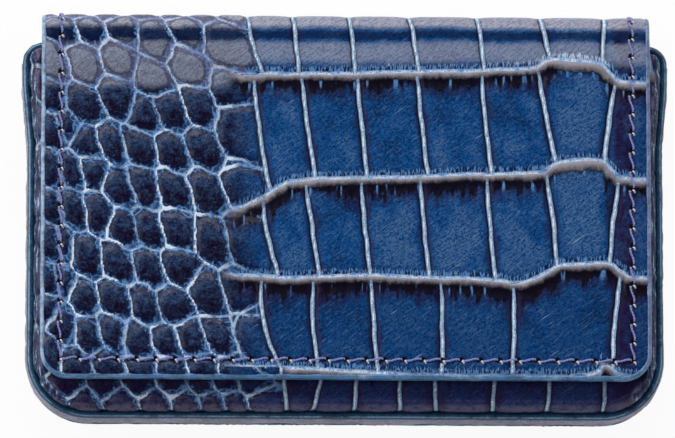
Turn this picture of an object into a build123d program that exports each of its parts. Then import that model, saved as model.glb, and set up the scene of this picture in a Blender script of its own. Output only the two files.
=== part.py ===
from build123d import *
import math
import os

# Flap-over business card case in embossed leather, lying on its back.
# +X runs along its length, +Y towards the fold at its top, +Z out of its front.
# The origin is the centre of its footprint, on the surface that it lies on. All sizes are in mm.

# Whole case
case_height = 66.0  # fold to bottom edge, along Y
body_width = 103.2  # over the pipings, at mid height
mouth_drop = 4.2  # from the outside of the fold down to the top edge of the pocket
mouth_flare = 0.9  # by which each side stands out at the mouth
flare_start = 16.8  # below the mouth, where the sides start to flare
flare_end = 7.2  # below the mouth, where they run straight again
flare_ease = 1.4  # run of both bends of the flare, to each side of the bend's corner
bottom_corner_radius = 10.0
mouth_corner_radius = 3.2

# Layers, from the outside of each panel to its inside
leather = 0.8
board = 1.0
lining = 0.5
pocket_depth = 6.9  # clear space for the cards, between the two linings
flap_gap = 0.3  # between the closed flap and the front of the pocket

# Flap, spine and the neck that joins them to the back
flap_side_reveal = 2.2  # of the pocket that shows at each side of the flap
flap_end_reveal = 5.9  # of the pocket that shows below the flap
flap_corner_radius = 4.5
fold_radius = 3.2  # outside of both folds
fold_slit = 0.1  # play between two leaves of a fold
neck_overlap = 8.8  # by which the neck runs on into the back panel
paint_width = 0.6  # painted cut edge
paint_rounding = 0.5

# Pocket walls
piping_diameter = 1.2
flange = 0.4  # the piping's sewn tape, between a panel's rim and the gusset
rim_height = 2.5  # of each panel's rolled rim
roll_radius = 1.6  # outside of the rolled rim
gusset_bulge = 0.7
piping_tuck = 3.0  # run of the front piping along the mouth, under the flap
neck_clearance = 0.3  # between the end of the back piping and the neck
turn_in = 6.0  # hem of the front panel, turned over its board
turn_in_end_gap = 4.4  # the hem stops short of the corners
fit = 0.1  # glue line round a board or a lining
least_radius = 0.2  # of an inner corner
binding = 0.4  # strip that covers the gusset's top edge
binding_depth = 2.4

# Magnetic closure
magnet_radius = 5.0
magnet_inset = 11.1  # from the end of the flap to the magnet's middle

# Thread
thread = 0.5
stitch_pitch = 3.1
stitch_length = 2.3
stitch_inset = 3.1  # from the flap's edge
channel_depth = 0.5  # the stitches lie in a groove this deep
channel_width = 0.7
hem_stitch_inset = 2.6  # from the pocket's top edge

# Worked out from the values above
panel = leather + board + lining
pocket_top_z = panel + pocket_depth + panel
flap_inner_z = pocket_top_z + flap_gap
case_thickness = flap_inner_z + panel
top_y = case_height / 2
mouth_width = body_width + 2 * mouth_flare
mouth_y = top_y - mouth_drop
flare_low_y = mouth_y - flare_start
flare_high_y = mouth_y - flare_end
flare_turn = math.atan(mouth_flare / (flare_start - flare_end))
flare_radius = flare_ease / math.tan(flare_turn / 2)
flap_width = body_width - 2 * flap_side_reveal
flap_end_y = -top_y + flap_end_reveal
neck_y = mouth_y - neck_overlap
magnet_y = flap_end_y + magnet_inset
fold_y = top_y - fold_radius
fold_high_z = case_thickness - fold_radius
hinge_reach = fold_radius * math.sin(math.radians(45))
hinge_y = fold_y + hinge_reach
spine_hinge_z = fold_radius - hinge_reach
flap_hinge_z = fold_high_z + hinge_reach
seam_inset = piping_diameter
inner_inset = seam_inset + leather
gusset_foot_z = rim_height + flange
gusset_head_z = pocket_top_z - rim_height - flange
gusset_height = gusset_head_z - gusset_foot_z
gusset_top_y = mouth_y - mouth_corner_radius
middle_z = pocket_top_z / 2


def side_corners(inset):
    """Corners and radii of the pocket's outline, from the left of the mouth round to the right."""
    top_x = mouth_width / 2 - inset
    side_x = body_width / 2 - inset
    high = mouth_y - inset
    low = -top_y + inset
    left = [(-top_x, high), (-top_x, flare_high_y), (-side_x, flare_low_y), (-side_x, low)]
    right = [(-x, y) for x, y in reversed(left)]
    radii = [
        max(mouth_corner_radius - inset, least_radius),
        flare_radius,
        flare_radius,
        max(bottom_corner_radius - inset, least_radius),
    ]
    return left + right, radii + radii[::-1]


def pocket_face(inset):
    """The pocket's outline as a face, drawn in by inset all round."""
    corners, radii = side_corners(inset)
    return make_face(FilletPolyline(*corners, radius=radii, close=True).edges())


def mouth_path(inset, tuck):
    """Line round sides and bottom that turns both mouth corners and runs on along the mouth by tuck."""
    corners, radii = side_corners(inset)
    end_x = mouth_width / 2 - mouth_corner_radius - tuck
    high = mouth_y - inset
    return FilletPolyline((-end_x, high), *corners, (end_x, high), radius=radii)


def gusset_path():
    """Seam line of the gusset, from the top of the left side round to the top of the right side."""
    corners, radii = side_corners(seam_inset)
    top_x = mouth_width / 2 - seam_inset
    middle = corners[1:-1]
    return FilletPolyline((-top_x, gusset_top_y), *middle, (top_x, gusset_top_y), radius=radii[1:-1])


def along(path, height, section, outward):
    """Sweeps a section, drawn with its x outward and its y across the wall, along a path at a height."""
    lifted = Pos(0, 0, height) * path
    start = lifted @ 0
    return sweep(Plane(origin=start, x_dir=outward, z_dir=lifted % 0) * section, path=lifted)


def bowed_band(near, far, height, bulge):
    """Cross-section of a bowed wall of some height, from near to far behind the seam line."""
    half = height / 2
    front = ThreePointArc((-near, -half), (bulge - near, 0), (-near, half))
    back = ThreePointArc((-far, -half), (bulge - far, 0), (-far, half))
    return make_face([front, back, Line((-near, -half), (-far, -half)), Line((-near, half), (-far, half))])


def rolled_panel():
    """A panel's leather as it lies at the back: flat, with its rim rolled up all round."""
    rim = extrude(pocket_face(seam_inset), rim_height)
    rim = fillet(rim.faces().sort_by(Axis.Z)[0].edges(), roll_radius)
    hollow = Pos(0, 0, leather) * extrude(pocket_face(inner_inset), rim_height)
    hollow = fillet(hollow.faces().sort_by(Axis.Z)[0].edges(), roll_radius - leather)
    return rim - hollow


def to_front(shape):
    """Turns a shape made for the back into its twin at the front."""
    return mirror(shape, about=Plane.XY.offset(middle_z))


def piping(tuck):
    """Round bead and sewn tape of a piping, at the back."""
    bead = Pos(piping_diameter / 2, 0) * Circle(piping_diameter / 2)
    tape_width = leather + piping_diameter / 2
    tape = Pos(tape_width / 2 - leather, 0) * Rectangle(tape_width, flange)
    path = mouth_path(seam_inset, tuck)
    return along(path, rim_height + flange / 2, bead + tape, (0, 1, 0))


def cover_line(depth):
    """The flap, spine and neck in profile, as a line that lies depth inside their outer surface."""
    inner = fold_radius - depth
    return [
        Line((neck_y, depth), (fold_y, depth)),
        CenterArc((fold_y, fold_radius), inner, -90, 90),
        Line((top_y - depth, fold_radius), (top_y - depth, fold_high_z)),
        CenterArc((fold_y, fold_high_z), inner, 0, 90),
        Line((fold_y, case_thickness - depth), (flap_end_y, case_thickness - depth)),
    ]


def cover_layer(depth, thickness, width):
    """A layer of the cover, as one piece from the neck over the spine to the end of the flap."""
    outer = cover_line(depth)
    inner = cover_line(depth + thickness)
    ends = [Line(outer[0] @ 0, inner[0] @ 0), Line(outer[-1] @ 1, inner[-1] @ 1)]
    profile = make_face(outer + inner + ends)
    return extrude(Plane.YZ * profile, width / 2, both=True)


def flap_outline(inset):
    """Block over the whole cover, with the flap's two rounded corners drawn in by inset."""
    middle_y = flap_end_y + inset + case_height / 2
    block = Box(flap_width - 2 * inset, case_height, 2 * case_thickness)
    block = Pos(0, middle_y, case_thickness / 2) * block
    corners = block.edges().filter_by(Axis.Z).group_by(Axis.Y)[0]
    return fillet(corners, flap_corner_radius - inset)


def split_cover(layer):
    """Cuts a cover layer at the middle of each fold, into neck, spine and flap."""
    back_cut = Plane(origin=(0, hinge_y, spine_hinge_z), z_dir=(0, 1, 1))
    flap_cut = Plane(origin=(0, hinge_y, flap_hinge_z), z_dir=(0, -1, 1))
    slit = fold_slit / 2
    halfway = Plane.XY.offset(case_thickness / 2)
    low = split(layer, halfway, keep=Keep.BOTTOM)
    high = split(layer, halfway, keep=Keep.TOP)
    neck = split(low, back_cut.offset(-slit), keep=Keep.BOTTOM)
    spine = split(low, back_cut.offset(slit), keep=Keep.TOP)
    spine = spine + split(high, flap_cut.offset(-slit), keep=Keep.BOTTOM)
    flap = split(high, flap_cut.offset(slit), keep=Keep.TOP)
    return neck, spine, flap


def cover_core(depth, thickness):
    """A cover layer inside the painted edge, cut into neck, spine and flap."""
    layer = cover_layer(depth, thickness, flap_width - 2 * paint_width)
    return split_cover(layer & flap_outline(paint_width))


def painted_edge():
    """Rounded bead of edge paint round the flap, spine and neck, cut into those three."""
    whole = cover_layer(0, panel, flap_width) & flap_outline(0)
    whole = fillet([e for e in whole.edges() if on_rim(e)], paint_rounding)
    core = cover_layer(0, panel, flap_width - 2 * paint_width) & flap_outline(paint_width)
    return split_cover(whole - core)


def on_rim(edge):
    """True for an edge where the cover's outer or inner surface meets its cut side."""
    middle = edge @ 0.5
    at_side = abs(abs(middle.X) - flap_width / 2) < fit
    at_end = middle.Y < flap_end_y + flap_corner_radius
    at_neck = abs(middle.Y - neck_y) < fit
    upright = abs((edge % 0.5).Z) > 1 - 1e-6 and middle.Y < fold_y
    return (at_side or at_end) and not at_neck and not upright


def stitch():
    """One stitch, a round-ended length of thread that lies along X."""
    reach = (stitch_length - thread) / 2
    middle = Rot(0, 90, 0) * Cylinder(thread / 2, 2 * reach)
    return middle + Pos(-reach, 0, 0) * Sphere(thread / 2) + Pos(reach, 0, 0) * Sphere(thread / 2)


def thread_row(start, end, outward):
    """Evenly spaced stitches from start to end on an outward surface, and the groove they lie in."""
    start, end, outward = Vector(*start), Vector(*end), Vector(*outward)
    run = end - start
    count = max(1, round(run.length / stitch_pitch))
    sunk = outward * (thread / 2 - channel_depth)
    steps = [start + run * ((i + 0.5) / count) + sunk for i in range(count)]
    stitches = [Plane(origin=at, x_dir=run, z_dir=outward).location * stitch() for at in steps]
    middle = Plane(origin=(start + end) / 2, x_dir=run, z_dir=outward)
    groove = middle.location * Box(run.length + channel_width, channel_width, 2 * channel_depth)
    return stitches, groove


def sew(leather_piece, rows):
    """Cuts the grooves of several stitch rows into a piece and returns it with all their stitches."""
    sewn = [thread_row(*row) for row in rows]
    for _, groove in sewn:
        leather_piece = leather_piece - groove
    return leather_piece, Compound([s.solid() for stitches, _ in sewn for s in stitches])


def gusset_binding(pipings):
    """Strip folded over the top edge of the gusset and its lining, on the right side."""
    wall = leather + lining
    side_x = mouth_width / 2 - seam_inset
    foot = Plane(origin=(side_x, gusset_top_y - binding_depth, middle_z), x_dir=(1, 0, 0), z_dir=(0, 1, 0))
    strip = foot * bowed_band(-binding, wall + binding, gusset_height, gusset_bulge)
    bound = foot * bowed_band(0, wall, gusset_height, gusset_bulge)
    strip = extrude(strip, binding_depth + binding) - extrude(bound, binding_depth)
    for bead in pipings:
        strip = strip - bead
    return strip


def magnet_disc(height, radius):
    """Disc through a board whose inner or lower face is at height."""
    return Pos(0, magnet_y, height + board / 2) * Cylinder(radius, board)


made = {}
board_inset = inner_inset + roll_radius - leather
lining_inset = inner_inset + fit
stitch_x = flap_width / 2 - stitch_inset

# Cover: one run of leather, board and lining from the neck over the spine to the end of the flap
neck_leather, spine_leather, flap_leather = cover_core(0, leather)
neck_board, made["spine_board"], flap_board = cover_core(leather, board)
neck_lining, made["spine_lining"], made["flap_lining"] = cover_core(leather + board, lining)
neck_paint, made["spine_edge_paint"], made["flap_edge_paint"] = painted_edge()

# Back of the pocket, which runs on into the neck
above_rim_y = mouth_y - seam_inset
neck_gap = Box(flap_width, 2 * (roll_radius + fit), 2 * rim_height)
neck_gap = Pos(0, above_rim_y, leather + rim_height) * neck_gap
back_leather = rolled_panel() - neck_gap + neck_leather
back_rows = [((x, fold_y, 0), (x, neck_y, 0), (0, 0, -1)) for x in (-stitch_x, stitch_x)]
made["back_panel"], made["back_stitching"] = sew(back_leather, back_rows)
made["back_board"] = Pos(0, 0, leather) * extrude(pocket_face(board_inset), board) + neck_board
made["back_lining"] = Pos(0, 0, leather + board) * extrude(pocket_face(lining_inset), lining) + neck_lining
panel_space = Box(2 * mouth_width, 2 * above_rim_y, 2 * case_thickness)
made["back_edge_paint"] = neck_paint - panel_space
neck_space = Box(flap_width + 2 * neck_clearance, 4 * piping_diameter, 2 * case_thickness)
made["back_piping"] = piping(piping_tuck) - Pos(0, mouth_y, 0) * neck_space

# Front of the pocket, with a hem turned in over its board
made["front_piping"] = to_front(piping(piping_tuck))
hem_z = pocket_top_z - leather - board - leather / 2
hem_width = mouth_width - 2 * (inner_inset + turn_in_end_gap)
hem = Pos(0, above_rim_y - turn_in / 2, hem_z) * Box(hem_width, turn_in, leather)
hem_y = above_rim_y - hem_stitch_inset
hem_row = ((-hem_width / 2, hem_y, pocket_top_z), (hem_width / 2, hem_y, pocket_top_z), (0, 0, 1))
made["front_panel"], made["mouth_stitching"] = sew(to_front(rolled_panel()) + hem, [hem_row])
plate_height = pocket_top_z - leather - board
front_board = Pos(0, 0, plate_height) * extrude(pocket_face(board_inset), board)
made["front_board"] = front_board - magnet_disc(plate_height, magnet_radius + fit)
made["closure_plate"] = magnet_disc(plate_height, magnet_radius)
front_lining = Pos(0, 0, plate_height - lining) * extrude(pocket_face(lining_inset), lining)
hem_space = Box(2 * mouth_width, 2 * (seam_inset + turn_in + fit), 4 * lining)
made["front_lining"] = front_lining - Pos(0, mouth_y, plate_height) * hem_space

# Gusset round the sides and the bottom
wall = leather + lining
gusset_section = bowed_band(0, leather, gusset_height, gusset_bulge)
made["gusset"] = along(gusset_path(), middle_z, gusset_section, (-1, 0, 0))
lining_section = bowed_band(leather, wall, gusset_height, gusset_bulge)
made["gusset_lining"] = along(gusset_path(), middle_z, lining_section, (-1, 0, 0))
binding_right = gusset_binding([made["back_piping"], made["front_piping"]])
made["gusset_binding_right"] = binding_right
made["gusset_binding_left"] = mirror(binding_right, about=Plane.YZ)

# Spine and flap
spine_rows = [((x, top_y, fold_radius), (x, top_y, fold_high_z), (0, 1, 0)) for x in (-stitch_x, stitch_x)]
made["spine_leather"], made["spine_stitching"] = sew(spine_leather, spine_rows)
stitch_y = flap_end_y + stitch_inset
flap_corners = [
    (-stitch_x, fold_y, case_thickness),
    (-stitch_x, stitch_y, case_thickness),
    (stitch_x, stitch_y, case_thickness),
    (stitch_x, fold_y, case_thickness),
]
flap_rows = [(start, end, (0, 0, 1)) for start, end in zip(flap_corners, flap_corners[1:])]
made["flap_leather"], made["flap_stitching"] = sew(flap_leather, flap_rows)
flap_board_z = case_thickness - leather - board
made["flap_board"] = flap_board - magnet_disc(flap_board_z, magnet_radius + fit)
made["flap_magnet"] = magnet_disc(flap_board_z, magnet_radius)

os.makedirs("parts", exist_ok=True)
for name, shape in made.items():
    export_step(shape, f"parts/{name}.step")
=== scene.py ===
"""Business card case in embossed leather: the looks of its leather, edges, pipings, linings and thread.

Sizes in the functions are in millimetres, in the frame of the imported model. A place on the folded cover
is given as if it were laid flat: x across it, and s along it, from the flap's end over the fold.
"""

import math

import bpy
import numpy as np
from mathutils import Matrix, Vector


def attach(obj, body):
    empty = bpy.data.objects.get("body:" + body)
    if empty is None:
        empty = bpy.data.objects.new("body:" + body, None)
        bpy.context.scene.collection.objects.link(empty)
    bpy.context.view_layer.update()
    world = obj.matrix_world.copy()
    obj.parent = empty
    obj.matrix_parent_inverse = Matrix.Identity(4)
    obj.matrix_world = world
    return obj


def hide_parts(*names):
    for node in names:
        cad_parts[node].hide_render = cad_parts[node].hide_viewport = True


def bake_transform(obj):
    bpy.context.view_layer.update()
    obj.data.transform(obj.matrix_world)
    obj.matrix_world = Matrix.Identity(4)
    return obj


bl_info = {
    "name": "Card case builder",
    "version": (1, 0, 0),
    "blender": (4, 5, 0),
    "location": "3D View > Sidebar > Card case",
    "description": "Dresses a flap-over business card case in embossed leather",
    "category": "Object",
}

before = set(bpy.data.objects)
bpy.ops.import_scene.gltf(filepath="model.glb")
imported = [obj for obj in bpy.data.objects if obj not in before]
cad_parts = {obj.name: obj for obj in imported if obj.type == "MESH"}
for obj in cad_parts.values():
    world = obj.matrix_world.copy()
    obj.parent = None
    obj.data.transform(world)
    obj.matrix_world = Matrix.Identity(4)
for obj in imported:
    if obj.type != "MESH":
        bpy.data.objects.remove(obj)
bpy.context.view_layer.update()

# Outline of the case and of its pocket, which widens between the two heights of its flare
TOP_Y = 33.0
MOUTH_Y = 28.8
BODY_WIDTH = 103.2
MOUTH_WIDTH = 105.0
FLARE = (12.0, 21.6)
CORNER = 10.0
MOUTH_CORNER = 3.2
LOW_BEND = -TOP_Y + CORNER
HIGH_BEND = MOUTH_Y - MOUTH_CORNER
THICK = 14.1
POCKET_TOP = 11.5
# The pocket's seam lies inside its piping, and each panel's rim rolls down to it
SEAM = 1.2
RIM = 2.5
ROLL = 1.6
PANEL_INSET = SEAM + ROLL
# The two folds, and where the flap's leather meets the back's, halfway up the spine
FOLD = 3.2
FOLD_Y = TOP_Y - FOLD
SPINE_S = FOLD_Y + FOLD * math.pi / 2
SEAM_S = SPINE_S + (THICK - FOLD - THICK / 2)
# The flap: half its width, its end, its corners, and the painted edge that its leather stops short of
FLAP_X = 49.4
FLAP_END = -27.1
FLAP_CORNER = 4.5
PAINT = 0.6
# Walls: leather, board and lining together, the leather alone, and a lining
PANEL = 2.3
LEATHER = 0.8
LINING = 0.42
# Points of a lining: how many across it, and how far apart its rows are
LINING_COLUMNS = 90
LINING_GAP = 0.8
# Middle of the magnet under the flap, and how far round it the lining stands out
MAGNET_Y = -16.0
MAGNET_REACH = 6.2
# Sewing: rows of the cover as (x, s), the neck's lower end, the distance between holes, and the mouth's hem
STITCH_X = 46.3
STITCH_Y = -24.0
NECK_END = 20.0
PITCH = 3.13
CORNERS = [(-STITCH_X, SEAM_S), (-STITCH_X, STITCH_Y), (STITCH_X, STITCH_Y), (STITCH_X, SEAM_S)]
FLAP_ROWS = [(CORNERS[1], CORNERS[0]), (CORNERS[1], CORNERS[2]), (CORNERS[2], CORNERS[3])]
NECK_ROWS = [((side * STITCH_X, NECK_END), (side * STITCH_X, SEAM_S)) for side in (-1, 1)]
HEM_ROWS = [((-46.1, 25.0), (46.1, 25.0))]
# What a pattern says of each point, for the leather's finish
PATTERN_MASKS = ("seam", "near", "under", "belly", "joined", "tone", "gap", "lift", "side", "broad", "strong")
# How the small scales lean and stand: their shape is measured on leather that is slanted and pressed flat
SLANT = 0.27
TALL = 0.84
# Distance to a line that isn't there
FAR = 30.0
# Name, place, size in metres, and power of each soft lamp
LAMPS = [
    ("back_box", (-0.25, 1.05, 0.85), (1.6, 0.45), 14.0),
    ("left_box", (-1.15, 0.25, 0.65), (0.5, 1.2), 8.5),
    ("front_box", (0.2, -1.15, 0.6), (1.6, 0.4), 4.0),
    ("right_box", (1.25, 0.1, 0.6), (0.5, 1.0), 3.0),
]
# Painted shadow inside the sewing holes: near black where they are dark
HOLE_SHADOW = (0.0008, 0.0008, 0.003, 1)
# The finishes, by name, once they are mixed
MATERIALS = {}


# ---------------------------------------------------------------- settings

def srgb(red, green, blue):
    """Screen colour from 0 to 255 as the linear colour that Blender keeps."""
    def linear(value):
        value = value / 255
        return value / 12.92 if value <= 0.04045 else ((value + 0.055) / 1.055) ** 2.4
    return (linear(red), linear(green), linear(blue), 1.0)


def colour(name, description, *rgb):
    return bpy.props.FloatVectorProperty(
        name=name, description=description, default=srgb(*rgb), size=4, min=0, max=1, subtype="COLOR")


def length(name, description, mm):
    return bpy.props.FloatProperty(
        name=name, description=description, default=mm / 1000, min=0, unit="LENGTH", precision=5)


class CardCaseSizes(bpy.types.PropertyGroup):
    """Sizes of the surface detail."""
    point_gap: length("Point gap", "Distance between the points of the flap's leather", 0.275)
    panel_gap: length("Panel point gap", "Distance between the points of the two panels' leather", 0.34)
    hinge_dip: length("Hinge dip", "How far the flap sinks where it has no card pocket under it", 0.42)
    groove: length("Groove depth", "Depth of the lines pressed between belly plates", 0.26)
    dome: length("Scale height", "Height of the small round scales", 0.40)
    thread: length("Thread", "Diameter of one strand of the sewing thread", 0.23)
    wander: length("Edge wander", "Unevenness of the painted edges", 0.05)


class CardCaseColours(bpy.types.PropertyGroup):
    """Colours of the finishes."""
    plate: colour("Belly plate", "Leather of the large plates", 0, 72, 136)
    # Dark blue for the plates' grain, and for painted shade beside their grooves, above the cross lines and
    # in the hinge's hollow
    plate_deep: colour("Plate edge", "Dark blue of the large plates: grain, and painted shade beside their grooves", 0, 26, 66)
    plate_light: colour("Plate grain", "Light grain of the large plates", 40, 104, 164)
    # Painted sheen on the plates, the scales and the pocket's sides; also the colour of spots of wear on the
    # hem and lining
    plate_sheen: colour("Plate sheen", "Painted sheen patches on the large plates", 84, 118, 158)
    scale: colour("Small scale", "Leather of the small scales", 15, 2, 32)
    # Painted sheen, bluer towards the top of each small scale
    scale_blue: colour("Scale blue", "Painted sheen on the small scales' upper parts, and the dark blue of their valleys", 4, 22, 66)
    # Painted highlight on the tops of the small scales
    scale_highlight: colour("Scale highlight", "Painted highlight on the tops of the small scales", 98, 92, 108)
    valley: colour("Valley", "Rough floor between small scales", 60, 100, 148)
    # Painted sheen over the pocket's mouth
    mouth_sheen: colour("Mouth sheen", "Painted sheen, grey, where the flap rides over the pocket's mouth", 134, 144, 166)
    # Painted highlight round the fold
    fold_sheen: colour("Fold sheen", "Painted highlight, grey, round the fold", 168, 168, 182)
    # Painted highlight on the rolled rim, and on the small scales over the mouth and the fold
    rim_highlight: colour("Rim highlight", "Painted highlight where the leather rolls over the pocket's rim", 132, 126, 156)
    side_deep: colour("Side", "Leather of the pocket's sides", 12, 30, 62)
    line: colour("Line", "Bare light line in the grooves", 96, 144, 200)
    # Also painted highlights on the scales' left sides and on the sides' wrinkles
    line_bright: colour("Bright line", "Brightest parts of the light lines, and painted highlights", 224, 238, 252)
    # Painted highlight on the top of each welt
    ridge: colour("Ridge", "Painted highlight on the welt under each cross groove", 150, 144, 152)
    # Painted shade beside the uprights and under the welts, the flap's painted shadow on the pocket's front,
    # and a dark strip at the flap's right
    flank: colour("Flank", "Painted shade beside the upright lines and under the welts", 28, 4, 48)
    # Painted shade in the creases, and in a thin line beside each upright
    crease: colour("Crease", "Painted shade in the crease under each welt", 8, 2, 16)
    paint: colour("Edge paint", "Painted cut edges", 70, 126, 178)
    # Painted highlight on the left edge paint, and spots of wear; also light cuts on the plates
    paint_wear_and_highlight: colour("Pale edge paint", "Pale edge paint: a painted highlight at the left, and spots of wear", 168, 194, 222)
    paint_dull: colour("Dull edge paint", "Edge paint in the shade, at the right", 112, 118, 164)
    piping: colour("Piping", "Leather of the pipings", 20, 76, 114)
    # Painted highlight along the pipings' crest, and spots of wear
    piping_light: colour("Piping highlight", "Painted highlight along the pipings' crest, and spots of wear", 130, 168, 196)
    # The gusset's light colours are a painted reflection of the pale floor
    gusset: colour("Gusset", "Leather of the gusset, light with a painted reflection of the pale floor", 162, 162, 184)
    gusset_glare: colour("Gusset glare", "Brightest painted reflection on the gusset", 216, 212, 224)
    lining: colour("Lining", "Leather of the linings", 24, 44, 84)
    thread: colour("Thread", "Sewing thread", 136, 140, 204)
    # Painted highlight on the thread's turned ends
    thread_light: colour("Thread end", "Painted highlight where the thread turns into its hole", 214, 216, 236)


class CardCaseStage(bpy.types.PropertyGroup):
    """Camera, floor and lamps."""
    distance: bpy.props.FloatProperty(
        name="Camera distance", description="From the case to the camera", default=1.3, unit="LENGTH")
    tilt: bpy.props.FloatProperty(
        name="Camera tilt", description="Lean of the camera towards the flap's end",
        default=math.radians(10), subtype="ANGLE")
    lens: bpy.props.FloatProperty(
        name="Lens", description="Focal length of the camera, in millimetres", default=428.7)
    floor: colour("Floor", "Colour of the floor and background", 255, 255, 255)
    world: bpy.props.FloatProperty(
        name="World light", description="Strength of the light from all round", default=0.15)


def sizes():
    return bpy.context.scene.card_case_sizes


def colours():
    return bpy.context.scene.card_case_colours


# ---------------------------------------------------------------- uneven surfaces

def soft(t):
    t = np.clip(t, 0, 1)
    return t * t * (3 - 2 * t)


def value_noise(x, y, seed):
    """Smooth random height from 0 to 1 over a plane."""
    column, row = np.floor(x), np.floor(y)
    right, up = soft(x - column), soft(y - row)

    def corner(i, j):
        n = (i.astype(np.int64) * 374761393 + j.astype(np.int64) * 668265263 + seed * 362437) & 0xFFFFFFFF
        n = ((n ^ (n >> 13)) * 1274126177) & 0xFFFFFFFF
        return ((n ^ (n >> 16)) & 0xFFFF) / 65535

    low = corner(column, row) * (1 - right) + corner(column + 1, row) * right
    high = corner(column, row + 1) * (1 - right) + corner(column + 1, row + 1) * right
    return low * (1 - up) + high * up


def rough(x, y, size, seed, layers=3):
    """Layered noise from about -1 to 1, with bumps of a size."""
    total, weight, sum_weight = 0.0, 1.0, 0.0
    for layer in range(layers):
        turn_x = 0.8 * x + 0.6 * y
        turn_y = 0.8 * y - 0.6 * x
        total = total + weight * (2 * value_noise(turn_x / size, turn_y / size, seed + 17 * layer) - 1)
        sum_weight += weight
        weight, size = weight * 0.55, size * 0.47
    return total / sum_weight * 1.4


# ---------------------------------------------------------------- embossed pattern

def smooth_line(points):
    """Round curve through a few points."""
    points = np.array(points, float)
    ends = np.vstack([2 * points[0] - points[1], points, 2 * points[-1] - points[-2]])
    line = []
    for before, start, end, after in zip(ends, ends[1:], ends[2:], ends[3:]):
        for t in np.linspace(0, 1, 8, endpoint=False):
            bend = 2 * before - 5 * start + 4 * end - after
            swing = 3 * start - before - 3 * end + after
            line.append(0.5 * (2 * start + (end - before) * t + bend * t ** 2 + swing * t ** 3))
    line.append(points[-1])
    return np.array(line)


def away_from(line, x, y):
    """Distance of points from a line of short straight runs."""
    best = np.full(len(x), 99.0)
    for (ax, ay), (bx, by) in zip(line, line[1:]):
        run = (bx - ax) ** 2 + (by - ay) ** 2
        t = np.clip(((x - ax) * (bx - ax) + (y - ay) * (by - ay)) / run, 0, 1)
        best = np.minimum(best, np.hypot(x - ax - t * (bx - ax), y - ay - t * (by - ay)))
    return best


def ridge(distance, width):
    """Height from 1 to 0 of a soft round ridge, away from its middle."""
    return np.exp(-(distance / width) ** 2)


def nearly_least(rate, distances):
    """Least of some distances, rounded off where two are alike."""
    return -np.log(sum(np.exp(-rate * distance) for distance in distances)) / rate


class Pattern:
    """Croc embossing: cross lines, the plates between them, and small round scales left of the plates."""

    def __init__(self, cross_lines, plates, scales, seed, branches=()):
        self.cross_lines = [smooth_line(line) for line in cross_lines]
        self.branches = [smooth_line(line) for line in branches]
        self.plates = plates
        self.seeds = np.array([(scale[0] + SLANT * scale[1], scale[1] * TALL) for scale in scales])
        self.weights = np.array([(scale[2] if len(scale) > 2 else 2.3) ** 2 for scale in scales])
        self.seed = seed

    def cross_height(self, line, x):
        """Height of a cross line at x, and how far its slope brings nearby points closer to it."""
        slope = np.gradient(line[:, 1], line[:, 0])
        return np.interp(x, line[:, 0], line[:, 1]), 1 / np.sqrt(1 + np.interp(x, line[:, 0], slope) ** 2)

    def read(self, x, y):
        return Reading(self, x, y)


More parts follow.
